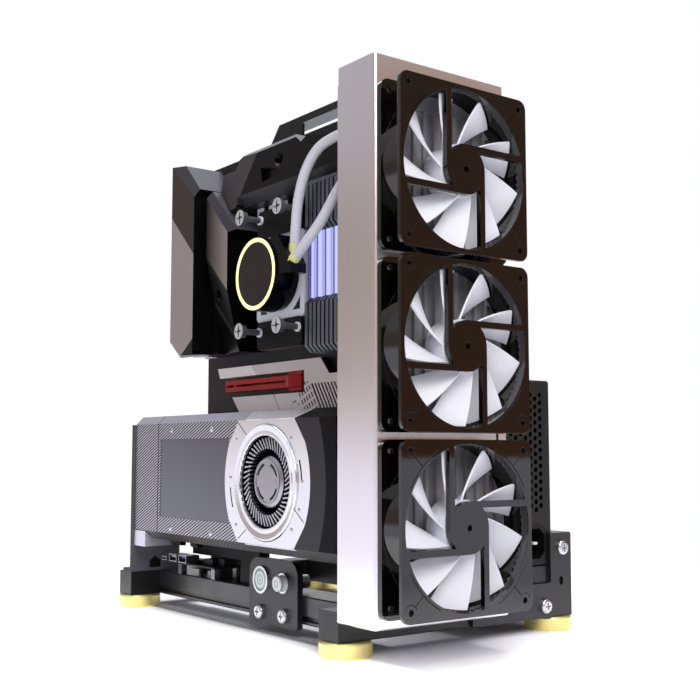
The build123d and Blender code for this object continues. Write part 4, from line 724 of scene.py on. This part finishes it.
def piece(name, bm, look, body=BENCH, bevel=0.0, smooth=False):
    if bevel:
        sharp = [edge for edge in bm.edges if edge.is_manifold and edge.calc_face_angle(0) > 0.5]
        bmesh.ops.bevel(bm, geom=sharp, offset=bevel, segments=2, profile=0.6, affect="EDGES")
    bmesh.ops.recalc_face_normals(bm, faces=bm.faces)
    bmesh.ops.scale(bm, vec=(0.001, 0.001, 0.001), verts=bm.verts)
    mesh = bpy.data.meshes.new(name)
    bm.to_mesh(mesh)
    bm.free()
    if smooth:
        mesh.shade_smooth()
    thing = bpy.data.objects.new(name, mesh)
    bpy.context.scene.collection.objects.link(thing)
    dress(thing, look)
    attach(thing, body)
    return thing


def lifted(axis, point, level):
    """A flat point and a level along an axis, as X, Y and Z."""
    first, second = point
    return {"X": (level, first, second), "Y": (first, level, second), "Z": (first, second, level)}[axis]


def circle(first, second, radius, count):
    angles = [2 * math.pi * step / count for step in range(count)]
    return [(first + radius * math.cos(a), second + radius * math.sin(a)) for a in angles]


def rectangle(low_a, high_a, low_b, high_b):
    return [(low_a, low_b), (high_a, low_b), (high_a, high_b), (low_a, high_b)]


def patch(u0, v0, u1, v1):
    """A rectangle on the mainboard."""
    (x0, z0), (x1, z1) = on_board(u0, v0), on_board(u1, v1)
    return rectangle(x0, x1, z0, z1)


def sector(inner, outer, start, end):
    """A curved slot's outline round the card's blower, angles in degrees."""
    count = 10
    angles = [math.radians(start + (end - start) * step / count) for step in range(count + 1)]
    far = [(blower_x + outer * math.cos(a), blower_z + outer * math.sin(a)) for a in angles]
    near = [(blower_x + inner * math.cos(a), blower_z + inner * math.sin(a)) for a in reversed(angles)]
    return far + near


def strip(start, end, width):
    """A straight thin slot's outline."""
    (x0, z0), (x1, z1) = start, end
    run = math.hypot(x1 - x0, z1 - z0)
    a, b = (z1 - z0) / run * width / 2, (x0 - x1) / run * width / 2
    return [(x0 + a, z0 + b), (x1 + a, z1 + b), (x1 - a, z1 - b), (x0 - a, z0 - b)]


def cross(x, z, reach, width, turn=0.0):
    """The outlines of two slots that cross in a screw's head."""
    slots = []
    for angle in (turn, turn + math.pi / 2):
        a, b = reach * math.cos(angle), reach * math.sin(angle)
        slots.append(strip((x - a, z - b), (x + a, z + b), width))
    return slots


def stitch(bm, first, second):
    """Faces between two loops of points."""
    count = len(first)
    for step in range(count):
        after = (step + 1) % count
        bm.faces.new((first[step], first[after], second[after], second[step]))


def add_block(bm, lower, upper):
    """A solid between two outlines in space."""
    loops = [[bm.verts.new(point) for point in points] for points in (lower, upper)]
    for loop in loops:
        bm.faces.new(loop)
    stitch(bm, *loops)


def add_prism(bm, axis, outline, low, high):
    add_block(bm, *[[lifted(axis, point, level) for point in outline] for level in (low, high)])


def add_band(bm, axis, rings):
    """A closed band through rings of points, each at its own level."""
    loops = [[bm.verts.new(lifted(axis, point, level)) for point in ring] for ring, level in rings]
    for number, loop in enumerate(loops):
        stitch(bm, loop, loops[(number + 1) % len(loops)])


def add_ring(bm, axis, first, second, inner, outer, low, high, count):
    wide, narrow = circle(first, second, outer, count), circle(first, second, inner, count)
    add_band(bm, axis, ((wide, low), (wide, high), (narrow, high), (narrow, low)))


CROWN = ((1.0, 0.0), (1.0, 0.3), (0.8, 0.62), (0.45, 0.8))  # share of the radius, and rise


def add_dome(bm, x, z, radius, base, sign):
    """A low screw head whose crown looks to the front or, with sign 1, to the back."""
    loops = []
    for share, rise in CROWN:
        ring = circle(x, z, radius * share, 20)
        loops.append([bm.verts.new(lifted("Y", point, base + sign * rise)) for point in ring])
    for before, after in zip(loops, loops[1:]):
        stitch(bm, before, after)
    bm.faces.new(loops[-1])
    bm.faces.new(loops[0])


def prisms(name, axis, outlines, low, high, look, body=BENCH, bevel=0.0):
    bm = bmesh.new()
    for outline in outlines:
        add_prism(bm, axis, outline, low, high)
    return piece(name, bm, look, body, bevel)


# Fans: fine teeth round the bore, and rings deep in the corner holes

TEETH = 144
BORE, TOOTH_ROOT, TOOTH_TIP = 57.05, 56.95, 56.1
for name in FANS:
    front = span(f"fan_frame_{name}")[1][0]
    _, fan_y, fan_z = middle(f"fan_frame_{name}")
    outer = circle(fan_y, fan_z, BORE, TEETH)
    roots, tips = circle(fan_y, fan_z, TOOTH_ROOT, TEETH), circle(fan_y, fan_z, TOOTH_TIP, TEETH)
    teeth = [tips[step] if step % 2 else roots[step] for step in range(TEETH)]
    back, near = front - 7.4, front - 5.6
    bm = bmesh.new()
    add_band(bm, "X", ((outer, back), (outer, near), (teeth, near), (teeth, back)))
    piece(f"fan_teeth_{name}", bm, fan_looks[name])
    bm = bmesh.new()
    for y in (fan_y - FAN_HOLE, fan_y + FAN_HOLE):
        for z in (fan_z - FAN_HOLE, fan_z + FAN_HOLE):
            add_ring(bm, "X", y, z, 0.7, 3.4, front - 4.6, front - 3.1, 24)
    piece(f"fan_pads_{name}", bm, fan_looks[name], bevel=0.2)

# Hoses

HOSE_RADIUS = 0.004
ROUTES = {
    "upper": [
        (70.03, -107.0, 304.5), (71.93, -107.52, 314.82), (74.47, -108.04, 331.5),
        (79.55, -108.04, 348.17), (86.54, -107.0, 362.46), (97.33, -104.4, 375.17),
        (108.13, -98.16, 381.52), (120.83, -94.0, 383.9), (133.53, -94.0, 383.9),
    ],
    "lower": [
        (79.03, -111.0, 294.0), (88.23, -111.55, 299.36), (98.45, -111.0, 306.51),
        (108.17, -109.5, 314.85), (114.81, -107.04, 324.97), (119.93, -103.76, 335.7),
        (127.01, -99.58, 347.14), (130.15, -97.34, 353.57),
    ],
}
for name, route in ROUTES.items():
    curve = bpy.data.curves.new(f"hose_{name}", "CURVE")
    curve.dimensions = "3D"
    curve.resolution_u = 10
    curve.bevel_depth = HOSE_RADIUS
    curve.bevel_resolution = 6
    curve.use_fill_caps = True
    spline = curve.splines.new("NURBS")
    spline.points.add(len(route) - 1)
    for control, point in zip(spline.points, route):
        control.co = (*[value / 1000 for value in point], 1.0)
    spline.order_u = 3
    spline.use_endpoint_u = True
    thing = bpy.data.objects.new(f"hose_{name}", curve)
    bpy.context.scene.collection.objects.link(thing)
    curve.materials.append(hose.material)
    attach(thing, BENCH)
    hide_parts(f"tube_{name}")

# Mainboard: pale chokes, small parts and headers, which stand a little into the board

rooted = board_front + 0.1
choke_top, choke_level, half = board_front - 9.0, 244.0, 5.2
chokes = [
    patch(u - half, choke_level - half, u + half, choke_level + half)
    for u in (106.0, 124.5, 143.0, 161.5, 180.0)
]
prisms("choke_caps", "Y", chokes, choke_top - 0.8, choke_top + 0.2, white, bevel=0.3)
can_top = board_front - 8.5
cans = [on_board(u, v) for u, v in (
    (100, 232), (100, 222), (108, 160), (108, 150), (252, 108), (240, 108),
)]
sleeves, lids = ([circle(*can, radius, 20) for can in cans] for radius in (3.2, 2.6))
prisms("capacitor_cans", "Y", sleeves, can_top, rooted, black, bevel=0.4)
prisms("capacitor_tops", "Y", lids, can_top - 0.2, can_top + 0.1, steel)
chips = [
    (14, 60, 26, 72), (12, 20, 20, 34), (30, 22, 44, 30), (60, 18, 84, 26),
    (104, 200, 118, 210), (196, 236, 204, 246), (120, 214, 126, 222),
]
prisms("board_chips", "Y", [patch(*chip) for chip in chips], board_front - 1.8, rooted, black, bevel=0.25)
headers = [patch(16 + 26 * step, 6, 34 + 26 * step, 12) for step in range(9)]
prisms("board_headers", "Y", headers, board_front - 8.0, rooted, black, bevel=0.3)

# Cooler: white washers under the long screws, and their crossed recesses as dark sheets of painted shade

SCREW_SIDE, SCREW_LEVEL = 28.0, 47.0
screw_front, bar_front = span("cooler_screws")[0][1], span("cooler_bars")[0][1]
bolt_x, _, bolt_z = middle("cooler_screws")
bm = bmesh.new()
crosses = []
for x in (bolt_x - SCREW_SIDE, bolt_x + SCREW_SIDE):
    for z in (bolt_z - SCREW_LEVEL, bolt_z + SCREW_LEVEL):
        add_ring(bm, "Y", x, z, 0.8, 3.9, bar_front - 1.8, bar_front + 0.05, 24)
        crosses += cross(x, z, 2.6, 1.0, 0.3)
piece("cooler_washers", bm, white, bevel=0.2)
prisms("cooler_screw_crosses", "Y", crosses, screw_front - 0.05, screw_front + 0.4, recess_shade)

# Graphics card: screws, seams and steps of the fan's frame, places from the blower's middle

bm = bmesh.new()
for x in (shroud_left + 73.2, shroud_left + 143.9):
    for z in (blower_z + 42.0, blower_z - 44.2):
        add_dome(bm, x, z, 2.3, card_front + 0.1, -1)
piece("card_screws", bm, bright, smooth=True)
FRAME_SCREWS = (
    (-42.5, 33.2), (36.3, 33.5), (-42.5, -34.8), (37.0, -34.5), (-51.5, 2.5), (51.2, 1.5), (46.9, -19.4),
)
bm = bmesh.new()
for x, z in FRAME_SCREWS:
    add_dome(bm, blower_x + x, blower_z + z, 1.5, card_front + 0.1, -1)
piece("card_frame_screws", bm, steel, smooth=True)
FRAME_SEAMS = ((-40.4, 46.4, -26.5, 35.4), (-39.9, -46.2, -27.0, -37.6), (38.6, -18.0, 52.8, -28.5))
slots = [
    sector(51.6, 53.0, 186, 204), sector(49.2, 50.8, 2, 20),
    sector(44.6, 45.2, 55, 126), sector(45.4, 46.0, 236, 302),
]
for x0, z0, x1, z1 in FRAME_SEAMS:
    slots.append(strip((blower_x + x0, blower_z + z0), (blower_x + x1, blower_z + z1), 0.7))
prisms("card_frame_slots", "Y", slots, card_front - 0.06, card_front + 0.5, black)
DISH = ((45.2, 0.2), (44.6, -0.7), (43.8, -0.7), (39.2, 0.1), (39.2, 0.2))  # radius and depth
bm = bmesh.new()
add_ring(bm, "Y", blower_x, blower_z, 36.6, 38.6, lip_front - 0.5, lip_front + 0.2, 96)
add_band(bm, "Y", [(circle(blower_x, blower_z, radius, 96), lip_front + depth) for radius, depth in DISH])
piece("card_frame_rings", bm, silver, bevel=0.15)

# Blower wheel: stepped rings, and four slots on its hub as dark sheets of painted shade

hub_front = wheel_front + 0.6
bm = bmesh.new()
for inner, outer, rise in ((16.0, 17.8, 0.7), (0.4, 12.2, 0.5), (12.2, 15.6, 0.2)):
    add_ring(bm, "Y", blower_x, blower_z, inner, outer, hub_front - rise, hub_front + 0.2, 64)
piece("wheel_hub_rings", bm, steel, "card_blower", bevel=0.12)
slots = [sector(13.0, 15.0, start, start + 52) for start in (18, 108, 198, 288)]
prisms("wheel_hub_slots", "Y", slots, hub_front - 0.26, hub_front, recess_shade, "card_blower")

# Graphics card: bent caps above and below the fan's frame, and clips under the card

CAP_LEFT, CAP_RIGHT, CAP_LEVEL, CAP_THICK = -29.0, 40.0, 48.6, 0.5
bm = bmesh.new()
for sign, depth in ((1, 7.0), (-1, 1.3)):
    far_right = CAP_RIGHT + 17.0 * depth / 7.0
    cap = [(CAP_LEFT, 0.0), (CAP_RIGHT, 0.0), (far_right, depth), (CAP_LEFT, depth)]
    outside = [
        (blower_x + x, card_front - 0.2 + back, blower_z + sign * (CAP_LEVEL + back)) for x, back in cap
    ]
    add_block(bm, outside, [(x, y + CAP_THICK, z - sign * CAP_THICK) for x, y, z in outside])
piece("card_frame_caps", bm, silver, bevel=0.12)
CLIP = [(-100, 66), (-94, 66), (-94, 59.8), (-98.5, 59.8), (-100, 61.3)]
bm = bmesh.new()
for low_x, high_x in ((-139.7, -122.0), (-103.3, -91.6)):
    add_prism(bm, "X", CLIP, low_x, high_x)
piece("card_clips", bm, black, bevel=0.4)

# Power supply: crossed screws at the ends of the fan guard's wires, their crosses dark sheets of painted
# shade

GUARD_HOLE = 45.0
guard_front, guard_back = span("psu_fan_guard")[0][1], span("psu_fan_guard")[1][1]
guard_x, _, guard_z = middle("psu_fan_guard")
crosses = []
bm = bmesh.new()
for x in (guard_x - GUARD_HOLE, guard_x + GUARD_HOLE):
    for z in (guard_z - GUARD_HOLE, guard_z + GUARD_HOLE):
        add_prism(bm, "Y", circle(x, z, 2.2, 20), guard_front - 0.1, guard_back + 0.1)
        add_dome(bm, x, z, 3.2, guard_back, 1)
        crosses += cross(x, z, 1.2, 0.6)
piece("supply_screws", bm, bright, smooth=True)
prisms("supply_screw_crosses", "Y", crosses, guard_back + 0.7, guard_back + 0.86, recess_shade)

# Mount plate: black inset behind its pocket, a dark sheet of painted shade

INSET_WIDTH, INSET_EAVES, INSET_RIDGE = 11.5, 6.5, 10.5
plate_low, plate_high = span("gpu_mount_plate")
y, z = span("left_cross_rail")[0][1] + 18.7, plate_low[2] + 3.0
house = [
    (y, z), (y + INSET_WIDTH, z), (y + INSET_WIDTH, z + INSET_EAVES),
    (y + INSET_WIDTH / 2, z + INSET_RIDGE), (y, z + INSET_EAVES),
]
prisms("mount_inset", "X", [house], plate_high[0] - 2.05, plate_high[0] - 1.7, recess_shade, bevel=0.1)

# Front hub: tongue of the blue socket

ports_low, ports_high = span("hub_ports")
tongue = rectangle(ports_low[0] + 33.6, ports_low[0] + 44.4, ports_low[1] + 1.8, ports_low[1] + 9.0)
prisms("hub_blue_tongue", "Z", [tongue], ports_high[2] - 3.1, ports_high[2] - 1.4, blue, bevel=0.15)

# Floor: white far away, with the bench's own shadow near it, cast by the lamps and deepened by painted
# shade

WHITE = (1.0, 1.0, 1.0, 1.0)
FADE_START, FADE_END = 360, 620


def floor_pale():
    """Matt near the bench and plain white beyond, with painted shade from an occlusion node near the
    bench, brighter in front as painted light and darker below the card as painted shadow.
    """
    look = Look("floor_pale", srgb(246, 246, 248), 0.6)
    across, inward = look.along(1, 0, 0, 0), look.along(0, 1, 0, 0)
    rays = look.new("LightPath")
    seen = look.most(*[rays.outputs[f"Is {kind} Ray"] for kind in ("Camera", "Glossy", "Transmission")])
    # The occlusion node darkens the floor colour near the bench: painted shade.
    closeness = look.new("AmbientOcclusion")
    closeness.samples = 8
    closeness.inputs["Distance"].default_value = 0.09
    clear = look.remap(closeness.outputs["AO"], 0.15, 0.75)
    # In front of the rail the floor is brightened: painted light.
    painted_light_ahead = look.product(
        look.remap(inward, -100.0, -96.0, 1.0, 0.0), look.remap(inward, -190.0, -130.0),
    )
    open_tone = look.mixed(painted_light_ahead, (1.5, 1.5, 1.53, 1.0), (2.2, 2.2, 2.24, 1.0))
    occlusion_shade_tone = look.mixed(painted_light_ahead, (1.0, 1.0, 1.04, 1.0), (1.7, 1.7, 1.74, 1.0))
    # Behind the front rail a strip is darkened: painted shadow.
    painted_shadow_strip = look.product(look.within(across, -185.0, 95.0, 10.0), look.within(inward, -97.0, -36.0, 3.0))
    painted_shadow_tone = look.mixed(
        look.remap(inward, -95.0, -64.0), (0.48, 0.48, 0.5, 1.0), (1.8, 1.8, 1.84, 1.0),
    )
    tone = look.mixed(painted_shadow_strip, look.mixed(clear, occlusion_shade_tone, open_tone), painted_shadow_tone)
    matt = look.new("BsdfDiffuse")
    look.join(look.mixed(seen, look.drift(look.colour, 2.0, 0.01), tone), matt.inputs["Color"])
    plain = look.new("Emission")
    tint = look.mixed(rays.outputs["Is Glossy Ray"], WHITE, (0.99, 0.97, 1.08, 1.0))
    look.join(tint, plain.inputs["Color"])
    away = look.remap(look.length(across, inward), FADE_START, FADE_END)
    blend = look.new("MixShader")
    look.join(look.product(away, seen), blend.inputs[0])
    look.join(matt.outputs[0], blend.inputs[1])
    look.join(plain.outputs[0], blend.inputs[2])
    look.join(blend.outputs[0], look.tree.nodes["Material Output"].inputs["Surface"])
    look.material.cycles.emission_sampling = "NONE"
    return look


bpy.ops.mesh.primitive_plane_add(size=40.0, location=(0, 0, 0))
floor = bpy.context.object
floor.name = "floor"
dress(floor, floor_pale())

# Studio: white behind, a warm dark room in reflections, plain soft light

SKY = (0.86, 0.87, 1.0, 1.0)
PALE_BACK = (0.88, 0.88, 0.92, 1.0)
SOFT_LIGHT = (0.4, 0.4, 0.43, 1.0)
WARM_SIDE = (
    (0.0, (0.33, 0.155, 0.085, 1)), (0.4, (0.26, 0.16, 0.11, 1)),
    (0.62, (0.4, 0.37, 0.37, 1)), (0.9, SKY),
)
COOL_SIDE = (
    (0.0, (0.8, 0.76, 0.76, 1)), (0.05, (0.4, 0.33, 0.3, 1)), (0.19, (0.36, 0.3, 0.265, 1)),
    (0.3, (0.48, 0.46, 0.49, 1)), (0.62, (0.42, 0.4, 0.42, 1)), (0.9, SKY),
)
world = bpy.data.worlds.new("studio")
bpy.context.scene.world = world
world.use_nodes = True
world.cycles.sampling_method = "NONE"
studio = Nodes(world.node_tree)
background = world.node_tree.nodes["Background"]
direction = studio.new("TexCoord").outputs["Generated"]
rays = studio.new("LightPath")
height = studio.dot(direction, 0, 0, 1)
side = studio.remap(studio.dot(direction, -0.5, -0.375, 0.0), -0.5, 0.5)
behind = studio.remap(studio.dot(direction, -0.8, 0.6, 0.0), 0.72, 0.92)
room = studio.mixed(side, studio.ramp(height, WARM_SIDE), studio.ramp(height, COOL_SIDE))
room = studio.mixed(behind, room, PALE_BACK)
shown = studio.mixed(rays.outputs["Is Glossy Ray"], SOFT_LIGHT, room)
shown = studio.mixed(rays.outputs["Is Transmission Ray"], shown, WHITE)
shown = studio.mixed(rays.outputs["Is Camera Ray"], shown, WHITE)
studio.join(shown, background.inputs["Color"])
background.inputs["Strength"].default_value = 1.0


def aimed(name, data, place, direction):
    """A light or camera that looks along a direction."""
    thing = bpy.data.objects.new(name, data)
    bpy.context.scene.collection.objects.link(thing)
    thing.location = place
    thing.rotation_euler = Vector(direction).to_track_quat("-Z", "Y").to_euler()
    return thing


def softbox(name, place, target, size, power, colour):
    light = bpy.data.lights.new(name, "AREA")
    light.shape = "RECTANGLE"
    light.size, light.size_y = size, size
    light.energy = power
    light.color = colour
    aimed(name, light, place, Vector(target) - Vector(place))


softbox("key", (1.7, -0.5, 1.5), (0.1, 0, 0.2), size=1.4, power=31, colour=(1.0, 0.98, 0.96))
softbox("top", (-0.3, 0.1, 2.4), (0, 0, 0.2), size=1.6, power=26, colour=(0.95, 0.96, 1.0))

EYE = (0.76528, -0.57639, 0.14365)
AZIMUTH, PITCH = math.radians(53.044), math.radians(5.320)
LENS, SENSOR = 56.27, 36.0
camera = bpy.data.cameras.new("camera")
camera.lens, camera.sensor_width = LENS, SENSOR
camera.clip_start = 0.01
sight = (-math.cos(PITCH) * math.sin(AZIMUTH), math.cos(PITCH) * math.cos(AZIMUTH), math.sin(PITCH))
bpy.context.scene.camera = aimed("camera", camera, EYE, sight)
bpy.context.scene.view_settings.view_transform = "Standard"
